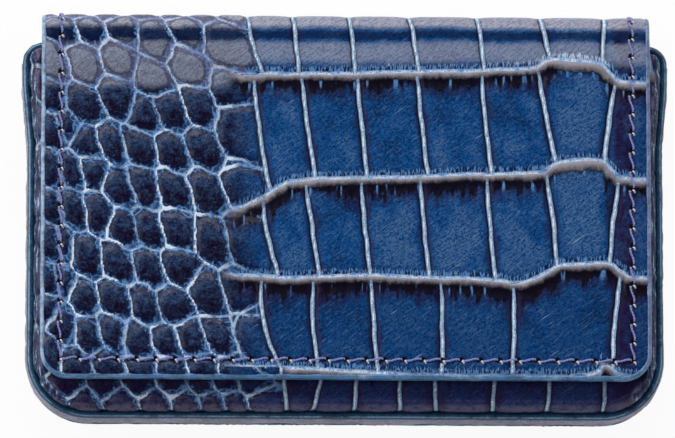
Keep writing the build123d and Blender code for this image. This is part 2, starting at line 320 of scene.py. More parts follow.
class Reading:
    """Relief z of a pattern at points of the flat leather, and a mask for each name in PATTERN_MASKS."""

    def __init__(self, pattern, x, y):
        self.pattern = pattern
        self.even_x, self.even_y = x, y
        seed = pattern.seed
        scaly = soft((-13 - x) / 6)
        bend, shake = 0.14 + 0.20 * scaly, 0.02 + 0.10 * scaly
        self.x = x + bend * rough(x, y, 3.0, seed + 2) + shake * rough(x, y, 1.0, seed + 3, 2)
        self.y = y + bend * rough(x, y, 3.0, seed + 5) + shake * rough(x, y, 1.0, seed + 6, 2)
        self.find_rows()
        self.find_plates()
        self.find_scales()
        self.set_masks()
        self.z = self.relief()

    def find_rows(self):
        """Row of each point, its distance from the lines over and under it, and its way down the row."""
        x, y, count = self.x, self.y, len(self.x)
        self.heights = heights = [self.pattern.cross_height(line, x) for line in self.pattern.cross_lines]
        row = np.zeros(count, int)
        for level, _ in heights:
            row += y < level
        below, above = np.full(count, FAR), np.full(count, FAR)
        for i, (level, lean) in enumerate(heights):
            below = np.where(row == i + 1, (level - y) * lean, below)
            above = np.where(row == i, (y - level) * lean, above)
        tops = np.vstack([heights[0][0] + 16] + [level for level, _ in heights])
        lows = np.vstack([level for level, _ in heights] + [heights[-1][0] - 16])
        top = np.take_along_axis(tops, row[None], 0)[0]
        low = np.take_along_axis(lows, row[None], 0)[0]
        self.row, self.below, self.above = row, below, above
        self.way_down = np.clip((top - y) / (top - low), 0, 1)

    def find_plates(self):
        """Plate of each point, and its distance from the plate's two sides and from the row's first line."""
        count = len(self.x)
        self.left, self.right, self.start = np.full(count, FAR), np.full(count, FAR), np.full(count, FAR)
        self.cell = np.full(count, -1)
        for i, lines in enumerate(self.pattern.plates):
            here = self.row == i
            if not here.any() or not lines:
                continue
            t = self.way_down[here]
            at = [a * (1 - t) * (1 - 2 * t) + 4 * m * t * (1 - t) + b * t * (2 * t - 1) for a, m, b in lines]
            gaps = self.x[here] - np.array(at)
            number = (gaps > 0).sum(0) - 1
            before = np.take_along_axis(gaps, np.maximum(number, 0)[None], 0)[0]
            after = -np.take_along_axis(gaps, np.minimum(number + 1, len(lines) - 1)[None], 0)[0]
            self.cell[here] = number
            self.left[here] = np.where(number >= 0, before, FAR)
            self.right[here] = np.where(number + 1 < len(lines), after, FAR)
            self.start[here] = gaps[0]
        self.belly = (self.cell >= 0) | (self.right < 0.45)

    def find_scales(self):
        """Rounded and sharp distance of each point from the edge of its small scale, and its place on it."""
        count = len(self.x)
        self.scale_gap, self.sharp = np.full(count, FAR), np.full(count, FAR)
        self.tone, self.lift, self.side = np.zeros(count), np.zeros(count), np.zeros(count)
        small = ~self.belly
        if not small.any():
            return
        seeds, weights = self.pattern.seeds, self.pattern.weights
        x, y = self.x[small] + SLANT * self.y[small], self.y[small] * TALL
        power = (x[:, None] - seeds[:, 0]) ** 2 + (y[:, None] - seeds[:, 1]) ** 2 - weights
        nearest = power.argsort(1)[:, :9]
        own, others = nearest[:, 0], nearest[:, 1:]
        apart = np.hypot(seeds[others, 0] - seeds[own, 0][:, None], seeds[others, 1] - seeds[own, 1][:, None])
        own_power = np.take_along_axis(power, nearest[:, :1], 1)
        edges = [(np.take_along_axis(power, others, 1) - own_power) / (2 * apart)]
        edges.append(np.minimum(self.right[small], FAR)[:, None])
        fade = 5 * (1 - soft((self.x[small] + 21.5) / 3))
        for level, lean in self.heights[1:4]:
            edges.append((np.abs(self.y - level) * lean)[small][:, None] + fade[:, None])
        for branch in self.pattern.branches:
            edges.append(away_from(branch, self.x[small], self.y[small])[:, None])
        edges = np.hstack(edges)
        self.sharp[small] = edges.min(1)
        self.scale_gap[small] = -np.log(np.exp(-1.9 * edges).sum(1)) / 1.9
        self.tone[small] = value_noise(own * 1.7, own * 0.9, self.pattern.seed + 40)
        reach = np.sqrt(np.maximum(weights[own], 1)) * 1.1
        self.lift[small] = (y - seeds[own, 1]) / reach
        self.side[small] = (x - seeds[own, 0]) / reach

    def raised(self, x):
        """Where the cross lines arch up over the last whole plate, with hardly a crease under them."""
        return soft((x - 32.5) / 2.5) * (1 - soft((x - 40.5) / 2.5)) * (self.row < 4)

    def set_masks(self):
        """Masks that hold for plates and scales alike."""
        row, belly, seed = self.row, self.belly, self.pattern.seed
        x, y = self.even_x, self.even_y
        plate_tone = value_noise(self.cell * 3.1 + 5, row * 2.3, seed + 41)
        plate_tone = np.maximum(plate_tone, 1.3 * self.raised(self.x))
        self.tone = np.where(belly, plate_tone, self.tone)
        self.lift = np.where(belly, 1 - 2 * self.way_down, self.lift)
        self.side = np.where(belly, np.where(self.left < self.right, 1.0, -1.0), self.side)
        self.upright = np.minimum(self.left, self.right)
        edge_y = np.minimum(self.below, self.above)
        self.plate_gap = nearly_least(3, (np.minimum(self.upright, 8), np.minimum(edge_y, 8)))
        self.gap = np.where(belly, self.plate_gap, self.scale_gap)
        self.seam = np.where(belly, self.upright, np.minimum(self.sharp, 6))
        between = (row > 1) & (row < 5)
        self.joined = np.where(between, soft((x + 20.5) / 4), soft(self.start / 1.6) * belly).astype(float)
        self.below = np.where(belly | (row > 1), self.below, FAR)
        self.above = np.where(belly | (row > 1), self.above, FAR)
        self.near = np.minimum(np.minimum(self.below, self.above), 8)
        self.under = np.where(self.below < self.above, np.minimum(self.below / 0.3, 1),
                              -np.minimum(self.above / 0.3, 1))
        strong = (0.5 + 0.17 * row) * (1 - 0.6 * self.raised(x)) + 0.35 * rough(x, row * 9.0, 5.0, seed + 60)
        self.strong = (row != 1) * np.clip(strong, 0, 1)
        self.broad = soft((x + 20.5 + 1.5 * rough(x, y, 6, seed + 50)) / 8)

    def relief(self):
        """Height of the leather: plates with their lines pressed in, and domed scales."""
        x, y, seed = self.even_x, self.even_y, self.pattern.seed
        groove = sizes().groove * 1000
        dome = sizes().dome * 1000
        below, above, upright = self.below, self.above, self.upright
        welt = self.joined * (0.16 * ridge(below - 0.85, 0.45) - 0.15 * ridge(below - 2.2, 0.95))
        crimp = value_noise(x / 0.7, np.floor(self.y / 9) * 3.0, seed + 8)
        fringe = crimp * ridge(below - 2.3, 0.8) + 0.8 * crimp * ridge(above - 0.5, 0.45)
        plate = (
            -1.1 * groove * ridge(upright, 0.62) - 0.4 * groove * ridge(upright, 1.5)
            + 0.17 * ridge(upright - 0.16, 0.17)
            - 0.7 * groove * ridge(below, 0.28)
            + welt - 0.9 * groove * ridge(above, 0.42)
            + 0.13 * (fringe - 0.3 * (fringe > 0)) * self.joined
            + 0.07 * soft(self.plate_gap / 3.5)
            + 0.035 * rough(x, y, 3.6, seed + 9) + 0.012 * rough(x, y, 0.7, seed + 10, 2)
        )
        wrinkle = 1 - np.abs(rough(x * 0.7, y * 1.5, 1.5, seed + 11))
        bump = 1 - np.exp(-(np.maximum(self.scale_gap - 0.14, 0) / 0.45) ** 1.6)
        scale = (
            dome * (bump - 0.62) + 0.06 * wrinkle * bump * soft(self.lift + 0.5)
            + 0.04 * rough(x, y, 0.8, seed + 12, 2)
            + 0.10 * ridge(self.sharp, 0.15) * (self.scale_gap < 0.3) - 0.05 * self.lift * bump + welt
        )
        mix = soft((self.start + 0.4) / 1.2) * self.belly
        return np.where(self.belly, plate * mix + (1 - mix) * np.minimum(plate, -0.1), scale)


def scale_field(x_range, y_range, seed, step=(4.7, 6.2)):
    """Small scales in uneven rows over a stretch of leather."""
    rng = np.random.default_rng(seed)
    field = []
    rows = int(round((y_range[1] - y_range[0]) / step[1])) + 1
    columns = int(round((x_range[1] - x_range[0]) / step[0])) + 1
    for j in range(rows):
        for i in range(columns):
            x = x_range[0] + (i + 0.5 * (j % 2)) * step[0] + rng.uniform(-0.7, 0.7)
            y = y_range[0] + j * step[1] + rng.uniform(-0.9, 0.9)
            if x < x_range[1]:
                field.append((x, y, rng.uniform(2.0, 2.6)))
    return field


def plate_field(rows, start, end, step, seed):
    """Lines between belly plates for some rows, with their own unevenness."""
    rng = np.random.default_rng(seed)
    field = []
    for _ in range(rows):
        at, lines = start + rng.uniform(-1.0, 1.0), []
        while at < end:
            lean = rng.uniform(0.6, 2.4)
            lines.append((at, at + lean / 2 + rng.uniform(-0.3, 0.3), at + lean))
            at += step + rng.uniform(-1.2, 1.2)
        field.append(lines)
    return field


def level_line(y, seed):
    """A gently waving cross line."""
    rng = np.random.default_rng(seed)
    return [(x, y + rng.uniform(-0.5, 0.5)) for x in range(-60, 70, 9)]


def flap_pattern():
    """Embossing of the flap and the upper half of the spine."""
    cross_lines = [
        [(-60, SEAM_S), (0, SEAM_S), (60, SEAM_S)],
        [(-24, 24.8), (-20.5, 23.9), (-16, 22.9), (-12.5, 23), (-7.5, 23), (1.5, 23.2), (12, 23.5),
         (19, 23.6), (26.5, 24), (30.5, 24.2), (33, 25.4), (38, 25.4), (41, 25), (42.8, 23.4), (45, 22),
         (50, 21.8)],
        [(-26, -2.5), (-19, 0.3), (-14, 2.4), (-10.5, 4.6), (-7.5, 5.5), (3, 5.9), (12, 6.1), (19, 6.5),
         (30.5, 6.9), (32.5, 7.5), (34.3, 8.6), (37.4, 9), (41.2, 8.9), (42.8, 7.6), (45, 6.1), (50, 5.9)],
        [(-24, -9.5), (-12, -10.5), (-5, -10.4), (0, -10.2), (4, -10.1), (14, -10.4), (24, -10.8),
         (27, -11.3), (29.4, -10.9), (32.4, -9.4), (34.8, -8.2), (38, -8), (42.2, -7.9), (44.6, -9.4),
         (46, -10.3), (50, -10.3)],
        [(-24, -25), (-5, -25.5), (5, -26), (12, -26.3), (37.5, -26.4), (41.5, -24.6), (44.5, -26.3),
         (50, -26.4)],
    ]
    plates = [
        [],
        [(-16.5, -15.8, -13.5), (-9.5, -8.4, -7.7), (-0.5, 0.7, 1.4), (9.5, 10.6, 11.8),
         (20.5, 21.6, 22.5), (30.8, 31.9, 33.3), (42.3, 42, 41.5)],
        [(-15.1, -14, -12.2), (-7.4, -6.3, -5.1), (1.7, 2.5, 3.5), (11.4, 12.2, 13.3), (22, 22.6, 23.7),
         (31, 32.4, 34.1), (43.9, 42.7, 41.8)],
        [(-13.6, -12.7, -11), (-6.7, -5.5, -4.3), (2.4, 3, 3.9), (12, 12.5, 13.5), (22.8, 23.3, 24.2),
         (32.3, 33.4, 34.1), (44.3, 43.3, 42.6)],
        [(-13.5, -13.4, -10.6), (-5.3, -5.4, -4.5), (4, 4.4, 5.2), (15.2, 15.5, 15.3), (27, 27.1, 26.8),
         (44.4, 43.5, 42.9)],
        [(-10.5, -10.5, -10.5), (-4.5, -4.5, -4.5), (37.8, 37.8, 37.8), (44.4, 44.4, 44.4)],
    ]
    scales = [
        (-46, 30.5), (-41.8, 30.6), (-36.8, 30.6), (-31, 28.6), (-25.7, 30), (-19.6, 27.6, 3.2),
        (-48, 24.5), (-42.5, 24.5), (-37.2, 25.4), (-31.4, 22), (-25.4, 24), (-18.8, 20.2, 2.6), (-48, 19),
        (-42.5, 17.5), (-37, 18.9), (-32.8, 15.8), (-28.6, 16.6), (-24, 17.4), (-48, 13.4),
        (-45.5, 14.3, 1.8), (-41.8, 11), (-38.2, 11), (-33.4, 10.6), (-28.3, 10), (-23.4, 10.6),
        (-16.4, 13.0, 4.2), (-48.3, 7), (-44.2, 6.9), (-41.2, 6.5), (-36.8, 3.8), (-32.9, 4.2), (-28, 3.7),
        (-23, 3.5), (-16.2, 4.6, 3.0), (-48.3, 0.8), (-44.4, 0.5), (-40.4, -0.2), (-36, -2.6),
        (-32.4, -2.8), (-27.4, -3.1), (-21.7, -4.6), (-15.6, -5, 3.2), (-48.3, -5), (-46, -5.4, 1.8),
        (-42.4, -7.2), (-37, -8.6), (-32, -9.2), (-26.9, -9), (-48.3, -11), (-46, -11.5, 1.9),
        (-42.4, -14.2), (-37.6, -14.4), (-32.6, -15.4), (-28, -15.3), (-22.4, -13.4), (-16.6, -13.4, 2.7),
        (-48.3, -16), (-46, -18.4), (-41.8, -20), (-37.8, -20), (-33.7, -21.2), (-29.1, -21.4),
        (-25.2, -20.8), (-20.4, -20.4), (-15, -20.6, 2.9), (-48, -23.5), (-44, -25.2), (-38.4, -25.4),
        (-33, -26.2), (-28, -26.3), (-23, -26), (-17.8, -26.4),
    ]
    scales += scale_field((-49, -17), (35.6, 38), 5, (5.0, 5.4))
    branches = [
        [(-20, 7.4), (-17.2, 7.6), (-13, 6.9), (-9.5, 5.4)],
        [(-17, -24), (-18.2, -18), (-14, -15)],
    ]
    return Pattern(cross_lines, plates, scales, 3, branches)


def front_pattern():
    """Embossing of the pocket's front."""
    cross_lines = [level_line(24, 11), level_line(8, 12), level_line(-8.5, 13)]
    cross_lines += [[(-60, -22.6), (0, -23.2), (60, -23.4)], [(-60, -35), (60, -35)]]
    plates = plate_field(4, -14, 50, 9.8, 14)
    plates.append([(-10.2, -9.8, -9.2), (-3, -4.5, -6), (1.9, 1.5, 1.2), (8.7, 8.7, 8.7), (14.2, 14.5, 14.7),
                   (24.1, 23.9, 23.7), (33.1, 32.8, 32.4), (42, 41.8, 41.5)])
    plates.append([])
    scales = [(x, -31.4, 2.2) for x in (-47.5, -42.2, -36.2, -30.6, -25.6, -21.4, -17.9, -13.6)]
    scales += [(x, -27.3, 2.0) for x in (-45, -39.2, -33.4, -28.1, -23.4, -19.6, -15.8)]
    scales += scale_field((-50, -12), (-22.6, 30), 15)
    return Pattern(cross_lines, plates, scales, 4)


def back_pattern():
    """Embossing of the pocket's back, the neck and the lower half of the spine."""
    cross_lines = [[(-60, SEAM_S), (0, SEAM_S), (60, SEAM_S)]]
    cross_lines += [level_line(y, 60 + y) for y in (23, 6, -10, -26)]
    plates = [[]] + plate_field(5, -15, 50, 10, 24)
    scales = scale_field((-51, -12), (-34, 38), 25)
    return Pattern(cross_lines, plates, scales, 9)


# ---------------------------------------------------------------- making meshes

def only(piece):
    """Selects one piece and nothing else."""
    bpy.ops.object.select_all(action="DESELECT")
    piece.select_set(True)
    bpy.context.view_layer.objects.active = piece


def start_grid(name, columns, rows):
    """Adds a flat grid of points, whose places are set afterwards."""
    bpy.ops.object.select_all(action="DESELECT")
    bpy.ops.mesh.primitive_grid_add(x_subdivisions=columns - 1, y_subdivisions=rows - 1, size=1)
    piece = bpy.context.object
    piece.name = name
    piece.data.name = name
    return piece


def start_sheet(name, rows, half, columns, side=1):
    """Adds a grid for a sheet whose rows reach half to each side. With side -1 it faces the other way."""
    piece = start_grid(name, columns, len(rows))
    across = side * np.tile(np.linspace(-1, 1, columns), len(rows)) * np.repeat(half, columns)
    return piece, across, np.repeat(rows, columns)


def start_sweep(name, line, section):
    """Adds a grid for a section swept along a line, with the row and column of each of its points."""
    piece = start_grid(name, len(section), len(line))
    return piece, np.repeat(np.arange(len(line)), len(section)), np.tile(np.arange(len(section)), len(line))


def points_of(piece):
    """A piece's points, in millimetres."""
    flat = np.empty(len(piece.data.vertices) * 3)
    piece.data.vertices.foreach_get("co", flat)
    return flat.reshape(-1, 3) * 1000


def place(piece, points):
    """Moves a piece's points to places in millimetres."""
    piece.data.vertices.foreach_set("co", (np.asarray(points) / 1000).ravel())
    piece.data.update()


def keep(piece, name, values):
    """Keeps a number, or a place, for each point of a piece."""
    values = np.asarray(values, dtype=np.float32)
    kind, part = ("FLOAT", "value") if values.ndim == 1 else ("FLOAT_VECTOR", "vector")
    found = piece.data.attributes.get(name) or piece.data.attributes.new(name, kind, "POINT")
    found.data.foreach_set(part, values.ravel())


def kept(piece, name):
    """What a piece keeps for each of its points."""
    found = piece.data.attributes[name]
    if found.data_type == "FLOAT":
        values = np.empty(len(found.data), np.float32)
        found.data.foreach_get("value", values)
        return values
    values = np.empty(len(found.data) * 3, np.float32)
    found.data.foreach_get("vector", values)
    return values.reshape(-1, 3)


def keep_pattern(piece, read, x, s, hole):
    """Keeps what a pattern says of each point, its share of a hole, and its place on the flat leather."""
    for name in PATTERN_MASKS:
        keep(piece, name, getattr(read, name))
    keep(piece, "hole", hole)
    keep(piece, "skin", np.column_stack([x, s, x * 0]))


def edit(piece, *steps):
    """Runs edit-mode steps on all of a piece."""
    only(piece)
    bpy.ops.object.mode_set(mode="EDIT")
    bpy.ops.mesh.select_all(action="SELECT")
    for step in steps:
        step()
    bpy.ops.object.mode_set(mode="OBJECT")


def weld():
    """Merges points that lie in one place."""
    bpy.ops.mesh.remove_doubles(threshold=2e-6)


def close_ends():
    """Fills the open ends of what is being edited."""
    bpy.ops.mesh.select_all(action="DESELECT")
    bpy.ops.mesh.select_mode(type="EDGE")
    bpy.ops.mesh.select_non_manifold(extend=False)
    bpy.ops.mesh.fill_holes(sides=0)
    bpy.ops.mesh.select_mode(type="VERT")
    bpy.ops.mesh.select_all(action="SELECT")


def face_out():
    """Turns every face outwards."""
    bpy.ops.mesh.normals_make_consistent(inside=False)


def thicken(piece, mm):
    """Gives a sheet its thickness, away from its face."""
    only(piece)
    wall = piece.modifiers.new("Thickness", "SOLIDIFY")
    wall.thickness = mm / 1000
    wall.offset = -1.0
    wall.use_even_offset = False
    bpy.ops.object.modifier_apply(modifier=wall.name)
    edit(piece, face_out)


def smooth(piece, degrees=None):
    """Shades a piece smooth, all over or where its faces meet at less than an angle."""
    only(piece)
    if degrees is None:
        bpy.ops.object.shade_smooth()
    else:
        bpy.ops.object.shade_smooth_by_angle(angle=math.radians(degrees))


def dress(piece, material):
    """Gives a piece its one material."""
    piece.data.materials.clear()
    piece.data.materials.append(material)


def copy_of(piece):
    """A copy of a piece with its own mesh."""
    copy = piece.copy()
    copy.data = piece.data.copy()
    bpy.context.collection.objects.link(copy)
    return copy


def join(pieces, name):
    """Joins pieces into one mesh."""
    only(pieces[0])
    for piece in pieces[1:]:
        piece.select_set(True)
    bpy.ops.object.join()
    pieces[0].name = name
    pieces[0].data.name = name
    return pieces[0]


# ---------------------------------------------------------------- shapes shared by the pieces

def cover_place(x, s, depth, upper=True):
    """Point on the folded cover, depth under its outside: on the flap's half, or on the back's."""
    turn = np.clip((s - FOLD_Y) / FOLD, 0, math.pi / 2)
    down = np.maximum(s - SPINE_S, 0)
    reach = FOLD - depth
    y = np.where(s < FOLD_Y, s, FOLD_Y + reach * np.sin(turn))
    z = np.where(s < FOLD_Y, THICK - depth, THICK - FOLD + reach * np.cos(turn) - down)
    return np.column_stack([x, y, z if upper else THICK - z])


def hinge_dip(x, s):
    """How far the flap has sunk, between the pocket's mouth and the fold."""
    slope = soft((s - 24.3 + 0.5 * rough(x, s * 0, 14, 70)) / 4.6)
    return sizes().hinge_dip * 1000 * slope * (1 - soft((s - 30.2) / 3.2))


def meeting_dip(s):
    """How far the leather turns in where the flap's half meets the back's."""
    return 0.1 * ridge(SEAM_S - s, 0.5)


def cover_rows(step, inset):
    """Where the rows of points of the flap lie, closer together round its two corners."""
    radius = FLAP_CORNER - inset
    turns = np.linspace(0, math.pi / 2, int(radius * 1.2 / step) + 2)
    arc = FLAP_END + inset + radius * (1 - np.cos(turns))
    straight = np.linspace(arc[-1], SEAM_S, int((SEAM_S - arc[-1]) / step) + 1)[1:]
    inner = FLAP_X - inset - radius
    half = np.concatenate([inner + radius * np.sin(turns), np.full(len(straight), FLAP_X - inset)])
    return np.concatenate([arc, straight]), half


def half_width(y, inset):
    """Half the width of the pocket's outline at heights y, drawn in by inset."""
    flare = (MOUTH_WIDTH - BODY_WIDTH) / 2 * np.clip((y - FLARE[0]) / (FLARE[1] - FLARE[0]), 0, 1)
    side = BODY_WIDTH / 2 - inset + flare
    radius = CORNER - inset
    bottom = BODY_WIDTH / 2 - CORNER + np.sqrt(np.maximum(radius ** 2 - np.maximum(LOW_BEND - y, 0) ** 2, 0))
    radius = max(MOUTH_CORNER - inset, 0.2)
    rise = np.sqrt(np.maximum(radius ** 2 - np.maximum(y - HIGH_BEND, 0) ** 2, 0))
    mouth = MOUTH_WIDTH / 2 - inset - radius + rise
    return np.where(y < LOW_BEND, bottom, np.where(y > HIGH_BEND, mouth, side))


def panel_rows(inset, step, top_corner=True):
    """Heights of the rows of points of a pocket panel, closer round its corners, and their half widths."""
    radius = CORNER - inset
    turns = np.linspace(0, math.pi / 2, int(radius * 1.3 / step))
    middle = np.linspace(LOW_BEND, HIGH_BEND, int((HIGH_BEND - LOW_BEND) / step))[1:]
    rows = np.concatenate([LOW_BEND - radius * np.cos(turns), middle])
    if top_corner:
        turns = np.linspace(0, math.pi / 2, 7)[1:]
        rows = np.concatenate([rows, HIGH_BEND + (MOUTH_CORNER - inset) * np.sin(turns)])
    return rows, half_width(rows, inset)


def outward(x, y):
    """Outward direction at points on the pocket's outline."""
    low_x, high_x = BODY_WIDTH / 2 - CORNER, MOUTH_WIDTH / 2 - MOUTH_CORNER
    side = np.sign(x)
    dx, dy = side, np.zeros(len(x))
    corners = ((y < LOW_BEND, low_x, LOW_BEND), (y > HIGH_BEND + 1e-6, high_x, HIGH_BEND))
    for bend, middle_x, middle_y in corners:
        dx = np.where(bend, np.maximum(np.abs(x) - middle_x, 0) * side, dx)
        dy = np.where(bend, y - middle_y, dy)
    size = np.maximum(np.hypot(dx, dy), 1e-9)
    return dx / size, dy / size


def around(x, y, radius, start, end, count):
    """Points round part of a circle."""
    turns = np.radians(np.linspace(start, end, count))
    return [(x + radius * math.cos(turn), y + radius * math.sin(turn)) for turn in turns]


def side_line(inset, tuck=None, step=0.5):
    """Points, outward directions and length of the pocket's outline, from the mouth's left to its right.

    With a tuck it runs on round the mouth's corners, and stops that far along the mouth.
    """
    low_x, top_x = BODY_WIDTH / 2 - CORNER, MOUTH_WIDTH / 2 - inset
    radius = MOUTH_CORNER - inset
    right = [(x, -TOP_Y + inset) for x in np.arange(0, low_x, 1.0)]
    right += around(low_x, LOW_BEND, CORNER - inset, -90, 0, 24)
    side = np.arange(LOW_BEND + 1, HIGH_BEND, 1.0)
    right += list(zip(half_width(side, inset), side))
    if tuck is None:
        right.append((top_x, HIGH_BEND))
    else:
        right += around(top_x - radius, HIGH_BEND, radius, 0, 90, 14)
        mouth = np.arange(top_x - radius - 0.5, MOUTH_WIDTH / 2 - MOUTH_CORNER - tuck, -0.5)
        right += [(x, MOUTH_Y - inset) for x in mouth]
    right = np.array(right)
    line = np.vstack([right[::-1] * [-1, 1], right[1:]])
    run = np.concatenate([[0], np.cumsum(np.hypot(*np.diff(line, axis=0).T))])
    even = np.linspace(0, run[-1], int(run[-1] / step) + 1)
    line = np.column_stack([np.interp(even, run, line[:, 0]), np.interp(even, run, line[:, 1])])
    along = np.gradient(line, axis=0)
    along /= np.hypot(*along.T)[:, None]
    return line, np.column_stack([along[:, 1], -along[:, 0]]), even[-1]


def swept(name, line, out, level, section, closed, waver):
    """Sweeps a section, given as (outward, up) points, along a line at a height.

    waver takes each point's share of the run, its share round the section and its place in the section,
    and gives how far it moves outward and up.
    """
    section = np.array(section, float)
    piece, row, column = start_sweep(name, line, section)
    reach, up = section[column, 0], section[column, 1]
    along, turned = row / (len(line) - 1), column / (len(section) - 1)
    push_out, push_up = waver(along, turned, reach, up)
    reach, up = reach + push_out, up + push_up
    place(piece, np.column_stack([line[row] + out[row] * reach[:, None], level + up]))
    keep(piece, "along", along)
    keep(piece, "round", turned)
    if closed:
        edit(piece, weld, close_ends, face_out)
    smooth(piece, 60)
    return piece


# ---------------------------------------------------------------- materials

class Value:
    """What comes out of a node, so that sums of nodes are written as sums."""

    def __init__(self, nodes, socket):
        self.nodes = nodes
        self.socket = socket

    def maths(self, operation, a, b):
        return self.nodes.value("ShaderNodeMath", [(0, a), (1, b)], 0, operation=operation)

    def __add__(self, other):
        return self.maths("ADD", self, other)

    def __sub__(self, number):
        return self.maths("ADD", self, -number)

    def __rsub__(self, number):
        return self.maths("SUBTRACT", number, self)

    def __mul__(self, other):
        return self.maths("MULTIPLY", self, other)

    __radd__, __rmul__ = __add__, __mul__

    def rise(self, low, high, to_low=0.0, to_high=1.0):
        """From to_low to to_high while this goes from low to high, smoothly."""
        inputs = [("Value", self), ("From Min", low), ("From Max", high)]
        inputs += [("To Min", to_low), ("To Max", to_high)]
        return self.nodes.value("ShaderNodeMapRange", inputs, "Result", interpolation_type="SMOOTHSTEP")


class Nodes:
    """Short ways to add nodes to a tree."""

    def __init__(self, tree):
        self.tree = tree

    def feed(self, socket, value):
        """Gives an input what another node puts out, or a value of its own."""
        if isinstance(value, Value):
            value = value.socket
        if isinstance(value, bpy.types.NodeSocket):
            self.tree.links.new(value, socket)
        else:
            socket.default_value = value

    def node(self, kind, inputs=(), **settings):
        """Adds a node with its settings, and then its inputs."""
        node = self.tree.nodes.new(kind)
        for key, value in settings.items():
            setattr(node, key, value)
        for key, value in inputs:
            self.feed(node.inputs[key], value)
        return node

    def value(self, kind, inputs, output, **settings):
        """Adds a node, for what one of its outputs gives."""
        return Value(self, self.node(kind, inputs, **settings).outputs[output])

    def seen_or_lit(self, seen, lit, share=1.0):
        """Shader that the camera sees one way, while the object is lit by another."""
        ray = self.value("ShaderNodeLightPath", (), "Is Camera Ray")
        if share < 1:
            ray = ray * share
        return self.value("ShaderNodeMixShader", [(0, ray), (1, lit), (2, seen)], 0)


class Finish(Nodes):
    """A material, and short ways to paint it."""

    def __init__(self, name, **sockets):
        self.material = bpy.data.materials.new(name)
        self.material.use_nodes = True
        super().__init__(self.material.node_tree)
        self.shader = self.tree.nodes["Principled BSDF"]
        for key, value in sockets.items():
            self.shader.inputs[key.replace("_", " ")].default_value = value
        self.place = self.value("ShaderNodeTexCoord", (), "Object")

    def kept(self, name):
        """A number kept on the piece's points."""
        return self.value("ShaderNodeAttribute", (), "Fac", attribute_name=name)

    def along(self, where, axis):
        """A place's distance along one axis."""
        return self.value("ShaderNodeSeparateXYZ", [("Vector", where)], axis)

    def blend(self, share, a, b):
        """Colour a, with b over it by share."""
        inputs = [(0, share), (6, a), (7, b)]
        return self.value("ShaderNodeMix", inputs, 2, data_type="RGBA", clamp_factor=True)

    def noise(self, size, detail, roughness, stretch=None, turn=0.0):
        """Noise from 0 to 1 with bumps of a size in millimetres, drawn out along turned axes."""
        where, per_unit = self.ground()
        if stretch:
            inputs = [("Vector", where), ("Rotation", (0, 0, turn)), ("Scale", stretch + (1,))]
            where = self.value("ShaderNodeMapping", inputs, 0, vector_type="TEXTURE")
        inputs = [("Vector", where), ("Scale", per_unit / size), ("Detail", detail), ("Roughness", roughness)]
        return self.value("ShaderNodeTexNoise", inputs, "Fac")

    def pebbles(self, size):
        """Distance from the nearest edge of small round pebbles."""
        where, per_unit = self.ground()
        inputs = [("Vector", where), ("Scale", per_unit / size), ("Randomness", 1.0)]
        return self.value("ShaderNodeTexVoronoi", inputs, "Distance", feature="DISTANCE_TO_EDGE")

    def ground(self):
        """Places that noise is read at, and how many millimetres make one of their units."""
        return self.place, 1000

    def bump(self, height, mm, strength=0.5):
        """Fine relief, mm high."""
        inputs = [("Height", height), ("Distance", mm / 1000), ("Strength", strength)]
        return self.value("ShaderNodeBump", inputs, "Normal")

    def finish(self, colour, roughness, normal):
        for name, value in (("Base Color", colour), ("Roughness", roughness), ("Normal", normal)):
            self.feed(self.shader.inputs[name], value)
        return self.material


def darker(tint, share):
    """A colour with a share of its light."""
    return tuple(part * share for part in tint[:3]) + (1,)


class CrocFinish(Finish):
    """Glazed croc embossing, painted from the masks that a cover keeps on its points."""

    def __init__(self, name):
        super().__init__(name, Specular_IOR_Level=0.18)
        for mask in PATTERN_MASKS + ("hole", "rubbed", "rim"):
            setattr(self, mask, self.kept(mask))
        self.skin = self.value("ShaderNodeAttribute", (), "Vector", attribute_name="skin")
        # Noise from wide clouds to specks, and slanting scratches
        self.wide = self.noise(6.5, 3, 0.6)
        self.mid = self.noise(1.5, 5, 0.65)
        self.fine = self.noise(0.5, 5, 0.75)
        self.speck = self.noise(0.22, 3, 0.7)
        self.scratch = self.noise(0.3, 4, 0.7, (6, 1), math.radians(38))
        self.grain = self.fine * 0.5 + self.speck * 0.5
        self.small = 1.0 - self.belly
        # Distance from the nearest light line, made uneven
        self.shaken = (self.seam + (self.mid - 0.5) * self.belly.rise(0.0, 1.0, 0.45, 0.12)
                       + (self.grain - 0.5) * self.belly.rise(0.0, 1.0, 0.75, 0.35))

    def ground(self):
        """The flat leather, in millimetres."""
        return self.skin, 1


